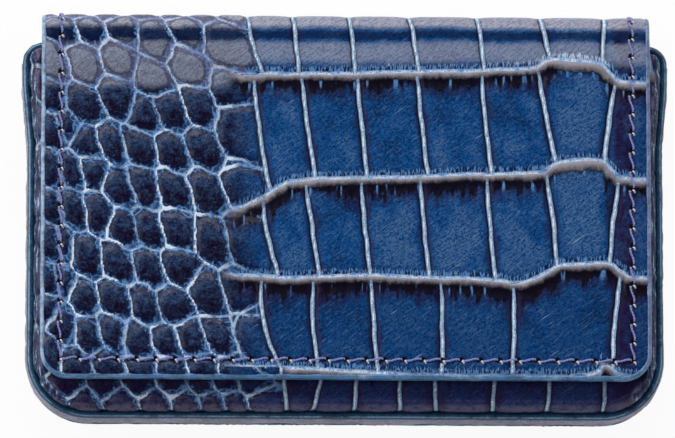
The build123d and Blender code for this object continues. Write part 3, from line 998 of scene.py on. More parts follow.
def plate_tint(f):
    """Leather of the large plates: grain, painted sheen patches, scratches, painted shade along their edges
    and towards their tops, and a dark strip at the right.
    """
    c = colours()
    x, y = f.along(f.skin, "X"), f.along(f.skin, "Y")
    # Darker clouds at random, and painted shade towards the top of each plate, under the crease
    tint = f.blend((f.wide + f.tone * 0.2 + f.lift * -0.12).rise(0.62, 0.34) * 0.75, c.plate, c.plate_deep)
    tint = f.blend(f.grain.rise(0.515, 0.44) * 0.75, tint, c.plate_deep)
    tint = f.blend(f.grain.rise(0.51, 0.58) * 0.55, tint, c.plate_light)
    tint = f.blend(y.rise(-8.0, -12.0, 0, 0.3), tint, c.plate_deep)
    # Painted sheen: light patches broken up by grain, faint over the lowest row
    patch = (f.wide + f.tone * 0.22 + f.lift * -0.09).rise(0.56, 0.76)
    patch = patch * f.gap.rise(0.7, 2.2) * y.rise(-12.0, -8.0, 0.2, 1.0)
    crisp = (f.grain * 0.65 + f.scratch * 0.35).rise(0.44, 0.56)
    tint = f.blend(patch * crisp * 0.7, tint, c.plate_sheen)
    # Painted sheen along the slanting scratches
    tint = f.blend(f.scratch.rise(0.54, 0.64) * f.gap.rise(0.4, 1.2) * 0.5, tint, c.plate_sheen)
    cut = f.noise(0.3, 2, 0.5, (22, 1), math.radians(33))
    tint = f.blend(cut.rise(0.68, 0.73) * f.wide.rise(0.46, 0.56) * 0.55, tint, c.paint_wear_and_highlight)
    # Painted shade along the plates' grooves
    tint = f.blend(f.gap.rise(1.2, 0.25, 0, 0.55), tint, c.plate_deep)
    # A dark purple strip between the last upright line and the stitches
    strip = x.rise(42.8, 44.0) * x.rise(47.2, 46.2, 0.3, 1.0) * f.mid.rise(0.70, 0.40, 0.5, 0.9)
    return f.blend(strip, tint, c.flank)


def scale_tint(f):
    """Leather of the small scales: dark below, with painted sheen bluer above and a painted highlight at the
    top.
    """
    c = colours()
    # Painted sheen, bluer towards the top of each scale
    tint = f.blend((f.lift * 0.45 + f.mid * 0.9).rise(0.1, 0.75, 0, 0.9), c.scale, c.scale_blue)
    tint = f.blend(f.grain.rise(0.50, 0.58) * f.mid.rise(0.36, 0.60) * 0.5, tint, c.valley)
    tint = f.blend(f.grain.rise(0.52, 0.45) * 0.75, tint, c.scale)
    rough_top = (f.grain * 0.7 + f.mid * 0.3).rise(0.44, 0.56, 0.1, 1.0)
    height = f.lift + (f.mid - 0.5) * 1.2
    # Painted sheen high on each scale, and a painted highlight at its top
    tint = f.blend(height.rise(-0.5, 0.7) * rough_top * 0.34, tint, c.plate_sheen)
    return f.blend(height.rise(0.50, 1.0) * rough_top * 0.8, tint, c.scale_highlight)


def paint_fold_light(f, tint):
    """Painted sheen, grey, where the leather bends over the pocket's mouth and the fold, and painted shade in
    the hollow between them.
    """
    c = colours()
    # Painted shade in the hollow behind the mouth
    tint = f.blend(f.rubbed.rise(0.0, -0.5, 0, 0.8), tint, c.plate_deep)
    # Painted sheen over the mouth, and a brighter painted highlight round the fold
    wear_and_sheen = f.blend(f.rubbed.rise(0.7, 1.0), c.mouth_sheen, c.fold_sheen)
    share = (f.grain * 0.6 + f.scratch * 0.4).rise(0.43, 0.56, 0.45, 1.0)
    return f.blend(f.rubbed * share, tint, wear_and_sheen)


def paint_rolled_rim_light(f, tint):
    """Painted highlight, grey, where the leather rolls over the pocket's rim."""
    wear_and_sheen = (f.mid * 0.5 + f.grain * 0.5).rise(0.40, 0.56, 0.15, 0.8)
    return f.blend(f.rim.rise(0.1, 0.5) * wear_and_sheen, tint, colours().rim_highlight)


def draw_scale_lines(f, tint):
    """Rough valleys and light lines between the small scales, with a painted highlight along each scale's
    left side and painted sheen over the mouth and the fold.
    """
    c = colours()
    uneven = f.gap + f.side * -0.15 + f.lift * 0.08 + (f.mid - 0.5) * 0.8 + (f.grain - 0.5) * 0.8
    tint = f.blend(uneven.rise(0.85, 0.45) * f.small * 0.7, tint, f.blend(0.55, c.scale, c.scale_blue))
    floor = f.blend(f.grain.rise(0.45, 0.55) * f.mid.rise(0.32, 0.54), c.scale_blue, c.valley)
    tint = f.blend(uneven.rise(0.36, 0.19) * f.small * 0.95, tint, floor)
    cracks = (f.pebbles(1.25) + (f.grain - 0.5) * 0.3).rise(0.12, 0.04)
    cracks = cracks * uneven.rise(0.50, 0.30) * f.small * f.mid.rise(0.40, 0.55)
    tint = f.blend(cracks * 0.9, tint, c.line)
    broken = (f.grain * 0.6 + f.mid * 0.4).rise(0.43, 0.53, 0.25, 0.95)
    patchy = (f.wide * 0.5 + f.fine * 0.5).rise(0.40, 0.58)
    bare = f.blend(patchy * 0.5, c.line, c.line_bright)
    tint = f.blend(f.shaken.rise(0.24, 0.12) * f.small * broken, tint, bare)
    # Painted highlight: the lines whiter along each scale's left side, as if lit from the left
    left = f.side.rise(0.0, -0.45) * f.shaken.rise(0.30, 0.18)
    left = left * (f.tone * 0.5 + f.grain * 0.9).rise(0.55, 0.80, 0.2, 1.0)
    tint = f.blend(left * f.small, tint, c.line_bright)
    # Painted sheen on the small scales over the mouth and the fold
    return f.blend(f.rubbed * f.small * uneven.rise(0.5, 0.2) * 0.4, tint, c.rim_highlight)


def draw_cross_lines(f, tint):
    """Each cross line: fringe above it, the light line, and the welt below it, with a painted highlight on
    the welt and painted shade in its crease.
    """
    c = colours()
    low_side = f.under.rise(-0.3, 0.3)
    low, high = low_side * f.joined, (1.0 - low_side) * f.joined
    strokes = (f.noise(0.55, 3, 0.6, (1, 5)) - 0.5) * 2.0
    lashes = f.noise(0.27, 2, 0.6, (1, 5))
    bites = f.noise(1.1, 3, 0.6, (1, 2)) - 0.5
    combs = f.noise(0.95, 1, 0.5, (1, 7))
    wavy = f.near + bites * 1.1 + (f.grain - 0.5) * 0.9 + f.strong * 0.9 - 0.75
    level = f.near + (f.mid - 0.5) * 0.7 + (f.grain - 0.5) * 1.3
    reach = f.near + (combs - 0.5) * 4.0 + strokes + bites * 3.0 + (f.wide - 0.5) * 4.0 + f.strong * -1.5
    # Painted shade in the dark crease and spreading below it, ticks over it, and painted shade on the leather
    # above the line
    crease = wavy.rise(1.1, 1.5) * low * reach.rise(1.9, 1.0) * f.strong.rise(0.0, 0.6, 0.25, 1.0)
    tint = f.blend(reach.rise(3.6, 1.6) * low * f.strong * 0.6, tint, c.flank)
    tint = f.blend(crease * 0.96, tint, c.crease)
    above = (level + strokes).rise(1.7, 0.6)
    tint = f.blend(above * high * f.rubbed.rise(0.0, 0.7, 0.85, 0.3), tint, c.plate_deep)
    tint = darken_flanks(f, tint)
    tick = combs.rise(0.62, 0.69) * wavy.rise(1.2, 1.6) * f.near.rise(3.3, 2.0) * low
    tint = f.blend(tick * f.grain.rise(0.40, 0.54, 0.35, 0.95), tint, c.line)
    # Welt, with a painted highlight on top and painted shade at its foot, then fringe and light line
    shade = (wavy * -0.36 + f.grain).rise(-0.06, 0.42)
    tint = f.blend(wavy.rise(1.7, 1.15) * low * 0.97, tint, f.blend(shade, c.crease, c.ridge))
    # The fringe's lashes brighter where painted sheen lies
    lash = lashes.rise(0.46, 0.54) * (level + strokes).rise(1.3, 0.8)
    tint = f.blend(lash * high * 0.9, tint, f.blend(f.rubbed * 0.8, c.line, c.line_bright))
    bright = (f.mid * 0.35 + f.grain * 0.65).rise(0.44, 0.56)
    tint = f.blend(level.rise(0.38, 0.20) * f.joined * 0.95, tint, f.blend(bright, c.line, c.line_bright))
    crack = level.rise(0.0, 0.06) * level.rise(0.16, 0.10) * f.mid.rise(0.50, 0.58) * low
    tint = f.blend(crack * 0.75, tint, c.plate_deep)
    return draw_uprights(f, tint, low)


def darken_flanks(f, tint):
    """Painted shade on both sides of the upright lines, less where painted sheen lies, and a thin painted
    shadow line beside each.
    """
    c = colours()
    outside_sheen = f.belly * f.rubbed.rise(0.0, 0.6, 1.0, 0.25)
    flank = (f.shaken + (f.wide - 0.5) * 4.0 + f.strong * -0.3).rise(1.1, 0.2)
    tint = f.blend(flank * outside_sheen * 0.5, tint, c.flank)
    tint = f.blend(f.shaken.rise(0.85, 0.42) * outside_sheen * 0.5, tint, c.plate_deep)
    # Painted shadow: a thin dark line beside each upright
    return f.blend((f.shaken + f.side * 0.08).rise(0.56, 0.44) * f.belly * 0.75, tint, c.crease)


def draw_uprights(f, tint, low):
    """Upright lines, white along the middle, which start on the welt and run down to the next cross line."""
    c = colours()
    begun = 1.0 + low * f.near.rise(0.75, 1.05, -1.0, 0.0)
    taper = f.near.rise(0.8, 4.0, 0.12, 0.0) * low
    cord = (f.shaken + taper).rise(0.37, 0.28) * f.belly * begun
    core = (f.shaken + taper + f.side * 0.05 + (f.fine - 0.5) * 0.5).rise(0.16, 0.06)
    flanks = f.blend(f.grain.rise(0.42, 0.58), c.plate_sheen, c.paint_wear_and_highlight)
    return f.blend(cord, tint, f.blend(core, flanks, c.line_bright))


def wrinkle_sides(f, tint):
    """Wrinkles along the pocket's sides, where the leather is stretched smooth: dark leather, with painted
    sheen and painted highlights on the wrinkles.
    """
    c = colours()
    wrinkle = f.noise(0.55, 4, 0.65, (0.6, 6))
    side = f.rim.rise(0.55, 0.9)
    tint = f.blend(side * 0.9, tint, f.blend(wrinkle.rise(0.46, 0.60, 0, 0.9), c.side_deep, c.plate_sheen))
    # Painted highlights on the wrinkles
    bright = (wrinkle * 0.7 + f.fine * 0.3).rise(0.54, 0.62)
    return f.blend(side * bright * 0.85, tint, c.line_bright)


def croc_leather(name, deep=0.0):
    """Glazed croc embossing: dark plates and scales, and light bare lines in the grooves. The last argument
    paints the flap's shadow over it.
    """
    f = CrocFinish(name)
    c = colours()
    tint = paint_fold_light(f, f.blend(f.broad, scale_tint(f), plate_tint(f)))
    # Painted shadow of the flap, laid under the lines here and over them below
    tint = paint_rolled_rim_light(f, f.blend(deep, tint, c.flank))
    tint = draw_cross_lines(f, draw_scale_lines(f, tint))
    tint = f.blend(0.5 * deep, wrinkle_sides(f, tint), c.flank)
    # Painted shadow in the sewing holes
    tint = f.blend(f.hole.rise(0.18, 0.42), tint, HOLE_SHADOW)
    shine = (f.mid * 0.5 + f.fine * 0.5).rise(0.35, 0.65, 0.24, 0.38)
    height = f.fine * 0.55 + f.speck * 0.35 + f.scratch * 0.3 + f.mid * 0.35
    return f.finish(tint, shine, f.bump(height, 0.12))


def plain_leather(name, base, wear_and_sheen, wear, grain, roughness=(0.38, 0.6), crest=None):
    """Smooth leather with fine pebbles, high spots that show wear, and a painted highlight along a crest at a
    share of the way round.
    """
    f = Finish(name, Coat_Weight=0.05, Coat_Roughness=0.3)
    wide = f.noise(6.0, 4, 0.6)
    mid = f.noise(1.4, 5, 0.65)
    fine = f.noise(0.35, 4, 0.7)
    pebble = f.pebbles(grain)
    dark = darker(base, 0.45)
    cloud = wide * 0.5 + mid * 0.5
    tint = f.blend(cloud.rise(0.3, 0.7), dark, base)
    tint = f.blend(fine.rise(0.45, 0.75) * mid.rise(0.35, 0.7) * wear, tint, wear_and_sheen)
    # Painted highlight along the crest
    if crest:
        way = f.kept("round")
        on_crest = way.rise(crest - 0.05, crest) * way.rise(crest + 0.05, crest)
        tint = f.blend(on_crest * cloud.rise(0.38, 0.56) * 0.9, tint, wear_and_sheen)
    tint = f.blend(pebble.rise(0.12, 0.0, 0, 0.35), tint, dark)
    height = pebble.rise(0.0, 0.3) * 0.5 + fine * 0.5
    return f.finish(tint, mid.rise(0.25, 0.75, *roughness), f.bump(height, 0.06))


def edge_paint():
    """Built-up edge paint, brushed along the edge, with a painted highlight at the left and painted shade at
    the right.
    """
    c = colours()
    f = Finish("Edge paint", Coat_Weight=0.25, Coat_Roughness=0.3)
    mid = f.noise(1.2, 5, 0.65)
    fine = f.noise(0.3, 4, 0.7)
    x = f.along(f.place, "X")
    # Painted highlight along the left edge and painted shade along the right
    left, right = x.rise(-0.0484, -0.0490, 0, 0.8), x.rise(0.0484, 0.0490, 0, 0.85)
    tint = f.blend(right, f.blend(left, c.paint, c.paint_wear_and_highlight), c.paint_dull)
    tint = f.blend(mid.rise(0.62, 0.34, 0, 0.8), tint, darker(c.paint, 0.4))
    wear_and_sheen = (fine * 0.5 + f.noise(3.5, 3, 0.5) * 0.5).rise(0.48, 0.66) * 0.6
    tint = f.blend(wear_and_sheen, tint, c.paint_wear_and_highlight)
    return f.finish(tint, mid.rise(0.3, 0.7, 0.32, 0.55), f.bump(fine + mid, 0.07))


def waxed_thread():
    """Waxed two-strand thread, with a painted highlight where it turns into its hole."""
    c = colours()
    f = Finish("Waxed thread", Sheen_Weight=0.2, Sheen_Roughness=0.5)
    fibre = f.noise(0.12, 3, 0.6)
    tint = f.blend(f.kept("light").rise(0.25, 0.8), c.thread, c.thread_light)
    tint = f.blend(fibre.rise(0.55, 0.8) * 0.5, tint, darker(c.thread, 0.35))
    return f.finish(tint, 0.55, f.bump(fibre, 0.03))


def fibre_board():
    """Grey fibre board, with short fibres pressed into it."""
    f = Finish("Fibre board")
    fibre = f.noise(0.5, 5, 0.7, (1, 5), 0.4)
    tint = f.blend(fibre.rise(0.35, 0.7), srgb(92, 84, 74), srgb(150, 140, 124))
    return f.finish(tint, 0.85, f.bump(fibre, 0.05))


def brushed_metal(name, tint, low, high):
    """Brushed metal, with a roughness from low to high."""
    f = Finish(name, Metallic=1.0)
    brush = f.noise(0.3, 3, 0.6, (1, 20))
    spots = f.noise(1.5, 4, 0.6)
    shade = f.blend(spots.rise(0.3, 0.7, 0, 0.4), tint, darker(tint, 0.6))
    return f.finish(shade, brush.rise(0.3, 0.7, low, high), f.bump(brush, 0.01, 0.4))


def mix_materials():
    c = colours()
    MATERIALS["croc"] = croc_leather("Glazed croc leather")
    # The pocket's front, with the flap's shadow painted over it
    MATERIALS["deep_croc"] = croc_leather("Shaded croc leather", 0.5)
    MATERIALS["hem"] = plain_leather("Hem leather", c.plate, c.plate_sheen, 0.3, 0.6)
    MATERIALS["paint"] = edge_paint()
    MATERIALS["piping"] = plain_leather(
        "Piping leather", c.piping, c.piping_light, 0.5, 0.5, (0.26, 0.45), crest=0.6)
    # Gusset leather painted light with the floor's reflection
    MATERIALS["gusset"] = plain_leather("Gusset leather", c.gusset, c.gusset_glare, 0.6, 0.6, (0.35, 0.55))
    MATERIALS["lining"] = plain_leather("Lining leather", c.lining, c.plate_sheen, 0.15, 0.5, (0.5, 0.7))
    MATERIALS["thread"] = waxed_thread()
    MATERIALS["board"] = fibre_board()
    MATERIALS["steel"] = brushed_metal("Brushed steel", srgb(178, 180, 184), 0.25, 0.45)
    MATERIALS["magnet"] = brushed_metal("Nickelled magnet", srgb(196, 194, 190), 0.15, 0.35)


# ---------------------------------------------------------------- sewing

def hole_places(start, end):
    """Holes of a row, a pitch apart."""
    start, end = np.array(start, float), np.array(end, float)
    count = int(round(np.hypot(*(end - start)) / PITCH))
    return start + (end - start) * (np.arange(count + 1) / count)[:, None]


def sewn_relief(x, s, rows):
    """Groove under the thread, and mask of the holes."""
    dip, hole = np.zeros(len(x)), np.zeros(len(x))
    for start, end in rows:
        start, end = np.array(start, float), np.array(end, float)
        run = end - start
        length = np.hypot(*run)
        count = len(hole_places(start, end)) - 1
        t = np.clip(((x - start[0]) * run[0] + (s - start[1]) * run[1]) / length ** 2, 0, 1)
        away = np.hypot(x - start[0] - run[0] * t, s - start[1] - run[1] * t)
        step = t * length / (length / count) % 1.0
        near = np.minimum(step, 1 - step) * length / count
        spot = np.exp(-((near / 0.52) ** 2 + (away / 0.44) ** 2))
        hole = np.maximum(hole, spot)
        dip = np.maximum(np.maximum(dip, 0.10 * ridge(away, 0.5)), 0.36 * spot)
    return dip, hole


def stitches(rows, lift, t, turn):
    """Every strand and turned end of the stitches along rows: places, heights, and each point's painted
    highlight.

    t runs along a strand, and turn round it. Each stitch has two strands, twisted round each other.
    """
    radius = sizes().thread * 1000 / 2
    wide = 0.75 * radius
    end_radius = radius * 1.2
    end_ahead, end_across = np.array([0.55, -0.84]), np.array([0.84, 0.55])
    for number, (start, end) in enumerate(rows):
        holes = hole_places(start, end)
        step = holes[1] - holes[0]
        pitch = np.hypot(*step)
        ahead = step / pitch
        across = np.array([-ahead[1], ahead[0]])
        for i, hole in enumerate(holes[:-1]):
            lean = 0.14 if abs(ahead[0]) > 0.5 else 0.20 if hole[0] < 0 else 0.30
            sway = 0.05 * math.sin(i * 2.4 + number)
            for strand in (0, 1):
                twist = 5.2 * math.pi * t + strand * math.pi
                run = 0.22 + (pitch - 0.44) * t
                offset = lean * (2 * t - 1) + sway - 0.09 * np.sin(2 * math.pi * t) + wide * np.cos(twist)
                rise = lift + 0.06 + wide * np.sin(twist)
                rise = rise - 0.34 * (1 - soft(t / 0.09)) - 0.34 * (1 - soft((1 - t) / 0.09))
                spots = hole + ahead * run[:, None] + across * (offset + radius * np.cos(turn))[:, None]
                # Painted highlight: lighter near the holes and on one side of each twist
                light = np.where((t < 0.1) | (t > 0.9), 0.35, 0.0) + 0.12 * np.sin(twist)
                yield spots, rise + radius * np.sin(turn), light
            run = 0.75 * t + 0.05
            rise = lift + 0.16 - 0.5 * (2 * t - 1) ** 2
            spots = hole + np.array([0.12, 0.0]) + end_ahead * run[:, None]
            spots = spots + end_across * (end_radius * np.cos(turn))[:, None]
            # The turned end gets the full painted highlight
            yield spots, rise + end_radius * np.sin(turn), np.ones(len(t))


def thread_run(name, rows, lift, upper=True):
    """Saddle stitches along rows on the cover, each from hole to hole, with a turned end given a painted
    highlight.
    """
    model = start_grid(name, 7, 15)
    way_round, along = (points_of(model) / 1000 + 0.5)[:, :2].T
    pieces = []
    for spots, height, light in stitches(rows, lift, along, way_round * 2 * math.pi):
        piece = copy_of(model)
        place(piece, cover_place(spots[:, 0], spots[:, 1], -height, upper))
        keep(piece, "light", light)
        pieces.append(piece)
    bpy.data.objects.remove(model)
    thread = join(pieces, name)
    edit(thread, weld, close_ends, face_out)
    smooth(thread)
    dress(thread, MATERIALS["thread"])
    return thread


# ---------------------------------------------------------------- rolled rim of the pocket's panels

def edge_ends(mesh):
    """The two points of each edge."""
    ends = np.empty(len(mesh.edges) * 2, int)
    mesh.edges.foreach_get("vertices", ends)
    return ends.reshape(-1, 2)


def open_edges(piece, below):
    """Which edges have a face on one side only, and lie below a height."""
    loops = np.empty(len(piece.data.loops), int)
    piece.data.loops.foreach_get("edge_index", loops)
    ends = edge_ends(piece.data)
    low = points_of(piece)[:, 1] < below
    return (np.bincount(loops, minlength=len(ends)) == 1) & low[ends].all(axis=1)


def extrude(piece, chosen):
    """Extrudes the chosen edges where they are. Gives the new points, and which edges lie between them."""
    mesh = piece.data
    only(piece)
    bpy.ops.object.mode_set(mode="EDIT")
    bpy.ops.mesh.select_mode(type="EDGE")
    bpy.ops.mesh.select_all(action="DESELECT")
    bpy.ops.object.mode_set(mode="OBJECT")
    picked = np.zeros(len(mesh.vertices), bool)
    picked[edge_ends(mesh)[chosen].ravel()] = True
    mesh.edges.foreach_set("select", chosen)
    mesh.vertices.foreach_set("select", picked)
    bpy.ops.object.mode_set(mode="EDIT")
    bpy.ops.mesh.extrude_region()
    bpy.ops.object.mode_set(mode="OBJECT")
    return np.arange(len(picked), len(mesh.vertices)), (edge_ends(mesh) >= len(picked)).all(axis=1)


def keep_at(piece, name, new, values):
    """Changes what a piece keeps for its new points."""
    everything = kept(piece, name)
    everything[new] = values
    keep(piece, name, everything)


def rolled_rim(piece, pattern, below, front):
    """Rolls a panel's open edge, below a height, up to the gusset, with the pattern running on over it."""
    flat = points_of(piece)
    x, y = flat[:, 0], flat[:, 1]
    dx, dy = outward(x, y)
    from_edge = np.minimum(half_width(y, PANEL_INSET) - np.abs(x), y - y.min())
    # How much painted highlight the panel gets: a little near its rolled edge
    keep(piece, "rim", 0.2 * np.exp(-np.maximum(from_edge, 0) / 0.7))
    keep(piece, "rim_at", flat)
    keep(piece, "rim_out", np.column_stack([dx, dy, dx * 0]))
    chosen = open_edges(piece, below)
    roll = [(math.radians(angle), 0.0) for angle in (15, 30, 45, 60, 75, 90)]
    wall = [(math.pi / 2, 0.45), (math.pi / 2, RIM - ROLL)]
    for step in roll + wall + [None]:
        new, chosen = extrude(piece, chosen)
        at, out = kept(piece, "rim_at")[new], kept(piece, "rim_out")[new]
        if step:
            turn, rise = step
            away, up = ROLL * math.sin(turn), ROLL * (1 - math.cos(turn)) + rise
            read = pattern.read(*(at + out * (ROLL * turn + rise))[:, :2].T.astype(float))
            relief = read.z * 0.8
            reach = (away + math.sin(turn) * relief)[:, None]
            depth = up - math.cos(turn) * relief
            # More painted highlight on the roll at the sides, where wrinkles are painted light, than at the
            # bottom
            rim = np.where(np.abs(out[:, 0]) > 0.6, 1.0, 0.32) * min(1.0, 0.3 + turn)
        else:
            # Cut edge of the leather
            away, up = ROLL, RIM
            read = pattern.read(*at[:, :2].T.astype(float))
            reach, depth, rim = away - LEATHER, RIM, 0.3
        spots = at + out * reach
        spots[:, 2] = POCKET_TOP - depth if front else depth
        points = points_of(piece)
        points[new] = spots
        place(piece, points)
        for name in PATTERN_MASKS:
            keep_at(piece, name, new, getattr(read, name))
        keep_at(piece, "rim", new, rim)
        skin = [at[:, 0] + out[:, 0] * away, at[:, 1] + out[:, 1] * (away + up), at[:, 0] * 0]
        keep_at(piece, "skin", new, np.column_stack(skin))
    for name in ("rim_at", "rim_out"):
        piece.data.attributes.remove(piece.data.attributes[name])


# ---------------------------------------------------------------- operators

class CardCaseOperator:
    bl_options = {"REGISTER", "UNDO"}

    def execute(self, context):
        self.make()
        return {"FINISHED"}


class CARD_OT_flap_cover(CardCaseOperator, bpy.types.Operator):
    """Makes the embossed leather of the flap and the upper half of the spine"""
    bl_idname = "card_case.flap_cover"
    bl_label = "Flap cover"

    def make(self):
        step = sizes().point_gap * 1000
        rows, half = cover_rows(step, PAINT)
        piece, x, s = start_sheet("flap_cover", rows, half, int(2 * FLAP_X / step))
        read = flap_pattern().read(x, s)
        dip, hole = sewn_relief(x, s, FLAP_ROWS)
        past_x, past_s = np.abs(x) - FLAP_X + FLAP_CORNER, FLAP_END + FLAP_CORNER - s
        corner = np.hypot(np.maximum(past_x, 0), np.maximum(past_s, 0))
        from_edge = np.minimum(FLAP_X - np.abs(x), s - FLAP_END)
        from_edge = np.minimum(from_edge, np.where(corner > 0, FLAP_CORNER - corner, FAR))
        fall = 0.16 * ridge(from_edge - PAINT, 0.5)
        flatten = (1 - 0.35 * soft((s - 24) / 4)) * soft((SEAM_S - s) / 1.2)
        depth = -(read.z * flatten) + dip + fall + meeting_dip(s) + hinge_dip(x, s)
        place(piece, cover_place(x, s, depth))
        keep_pattern(piece, read, x, s, hole)
        # Painted light: sheen over the pocket's mouth and round the fold, less painted shade in the hollow
        # between them
        shore = s + 0.35 * rough(x, s, 4, 71)
        mouth = soft((shore - 24.0 + 4 * (1 - soft((x + 20) / 6))) / 1.6) * (1 - soft((shore - 27.9) / 1.0))
        hollow = 0.6 * ridge(shore - 29.5, 0.8)
        keep(piece, "rubbed", np.maximum(0.8 * mouth, soft((shore - 30.1) / 1.3)) - hollow)
        smooth(piece)
        dress(piece, MATERIALS["croc"])
        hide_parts("flap_leather", "spine_leather")
        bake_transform(piece)


class CARD_OT_front_panel(CardCaseOperator, bpy.types.Operator):
    """Makes the embossed front of the pocket with its rolled rim and the hem inside its mouth"""
    bl_idname = "card_case.front_panel"
    bl_label = "Front panel"

    def make(self):
        step = sizes().panel_gap * 1000
        rows, half = panel_rows(PANEL_INSET, step)
        piece, x, y = start_sheet("front_cover", rows, half, int(BODY_WIDTH / step))
        pattern = front_pattern()
        read = pattern.read(x, y)
        dip, hole = sewn_relief(x, y, HEM_ROWS)
        place(piece, np.column_stack([x, y, POCKET_TOP + (read.z * 0.8 - dip)]))
        keep_pattern(piece, read, x, y, hole)
        rolled_rim(piece, pattern, TOP_Y, front=True)
        smooth(piece)
        dress(piece, MATERIALS["deep_croc"])
        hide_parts("front_panel")
        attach(piece, "pocket")
        self.make_hem()

    def make_hem(self):
        """The hem turned in behind the mouth."""
        bpy.ops.object.select_all(action="DESELECT")
        bpy.ops.mesh.primitive_cube_add(size=0.001, location=(0, 0.0246, 0.0093), scale=(92.2, 6.0, 0.8))
        hem = bpy.context.object
        hem.name = "mouth_hem"
        bpy.ops.object.transform_apply(location=True, rotation=True, scale=True)
        edit(hem, lambda: bpy.ops.mesh.bevel(offset=0.00028, segments=3),
             lambda: bpy.ops.mesh.subdivide(number_cuts=3), face_out)
        smooth(hem, 60)
        dress(hem, MATERIALS["hem"])
        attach(hem, "pocket")


class CARD_OT_back_cover(CardCaseOperator, bpy.types.Operator):
    """Makes the embossed back of the pocket with its rolled rim, the neck and the lower half of the spine"""
    bl_idname = "card_case.back_cover"
    bl_label = "Back cover"

    def make(self):
        step = sizes().panel_gap * 1000
        rows, half = panel_rows(PANEL_INSET, step)
        neck = np.linspace(rows[-1], SEAM_S, int((SEAM_S - rows[-1]) / step) + 1)[1:]
        rows = np.concatenate([rows, neck])
        half = np.concatenate([half, np.full(len(neck), FLAP_X - PAINT)])
        piece, x, s = start_sheet("back_cover", rows, half, int(BODY_WIDTH / step), side=-1)
        pattern = back_pattern()
        read = pattern.read(x, s)
        dip, hole = sewn_relief(x, s, NECK_ROWS)
        fall = 0.16 * ridge(FLAP_X - PAINT - np.abs(x), 0.5) * (s > 26)
        # The relief is pressed in, so that the case stands on its plates and scales
        depth = -(read.z * 0.8 - 0.16) * soft((SEAM_S - s) / 1.2) + dip + fall + meeting_dip(s)
        place(piece, cover_place(x, s, depth, upper=False))
        keep_pattern(piece, read, x, s, hole)
        # Painted highlight round the back's half of the fold
        keep(piece, "rubbed", soft((s + 0.35 * rough(x, s, 4, 72) - 31) / 1.6))
        rolled_rim(piece, pattern, MOUTH_Y - PANEL_INSET + 0.01, front=False)
        smooth(piece)
        dress(piece, MATERIALS["croc"])
        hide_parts("back_panel")
        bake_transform(piece)


def bead_line(upper):
    """Points and outward directions of a painted edge: all round the flap, or down the neck's left side."""
    side, radius = FLAP_X - PAINT, FLAP_CORNER - PAINT
    corner_x, corner_s = FLAP_X - FLAP_CORNER, FLAP_END + FLAP_CORNER
    down = np.arange(SEAM_S, corner_s if upper else MOUTH_Y - SEAM - 1.0, -0.5)
    line = [(-side, s) for s in down]
    out = [(-1.0, 0.0)] * len(down)
    if upper:
        across = np.arange(-corner_x + 0.5, corner_x, 0.5)
        line += around(-corner_x, corner_s, radius, 180, 270, 15)
        line += [(x, FLAP_END + PAINT) for x in across]
        line += around(corner_x, corner_s, radius, 270, 360, 15)
        line += [(side, s) for s in down[::-1]]
        out += around(0, 0, 1, 180, 270, 15) + [(0.0, -1.0)] * len(across)
        out += around(0, 0, 1, 270, 360, 15) + [(1.0, 0.0)] * len(down)
    return np.array(line), np.array(out)


def edge_bead(name, upper):
    """Rounded bead of paint round a cut edge, with a slight wander."""
    line, out = bead_line(upper)
    section = [(-0.12, 0.12)] + around(0.1, 0.5, 0.5, -90, 0, 6) + [(0.6, 1.15)]
    section += around(0.1, PANEL - 0.5, 0.5, 0, 90, 6) + [(-0.12, PANEL - 0.12), (-0.12, 0.12)]
    section = np.array(section)
    piece, row, column = start_sweep(name, line, section)
    reach, depth = section[column].T
    run = row * 0.5
    wander = sizes().wander * 1000
    reach = reach + wander * rough(run, depth * 2, 2.6, 61) * (reach > 0.05)
    depth = depth - 0.6 * wander * rough(run, reach * 3, 1.8, 62) * (depth < 1.1) + 0.05 * (depth < 1.1)
    x, s = (line[row] + out[row] * reach[:, None]).T
    if upper:
        depth = depth + hinge_dip(x, s) * (depth < 1.1)
    place(piece, cover_place(x, s, depth, upper))
    edit(piece, weld, close_ends, face_out)
    smooth(piece, 70)
    return piece


class CARD_OT_edge_paint(CardCaseOperator, bpy.types.Operator):
    """Makes the painted edges of the flap, spine and neck"""
    bl_idname = "card_case.edge_paint"
    bl_label = "Edge paint"

    def make(self):
        piece = edge_bead("flap_edge_bead", True)
        dress(piece, MATERIALS["paint"])
        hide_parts("flap_edge_paint", "spine_edge_paint")
        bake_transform(piece)
        left = edge_bead("neck_edge_bead", False)
        right = copy_of(left)
        place(right, points_of(right) * [-1, 1, 1])
        piece = join([left, right], "neck_edge_bead")
        edit(piece, face_out)
        dress(piece, MATERIALS["paint"])
        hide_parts("back_edge_paint")
        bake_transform(piece)


def finish_lining(piece):
    """Gives a lining its thickness and its leather."""
    thicken(piece, LINING)
    smooth(piece, 50)
    dress(piece, MATERIALS["lining"])


def cover_lining(name, rows, half, upper):
    """A lining that follows the inside of the cover. The magnet stands out a little under the flap's."""
    piece, x, s = start_sheet(name, rows, half, LINING_COLUMNS, side=-1 if upper else 1)
    ripple = 0.03 * rough(x, s, 5.0, 81)
    if upper:
        ripple = ripple + 0.07 * soft((MAGNET_REACH - np.hypot(x, s - MAGNET_Y)) / 1.2)
    place(piece, cover_place(x, s, PANEL - 0.02 + ripple, upper))
    finish_lining(piece)
    return piece


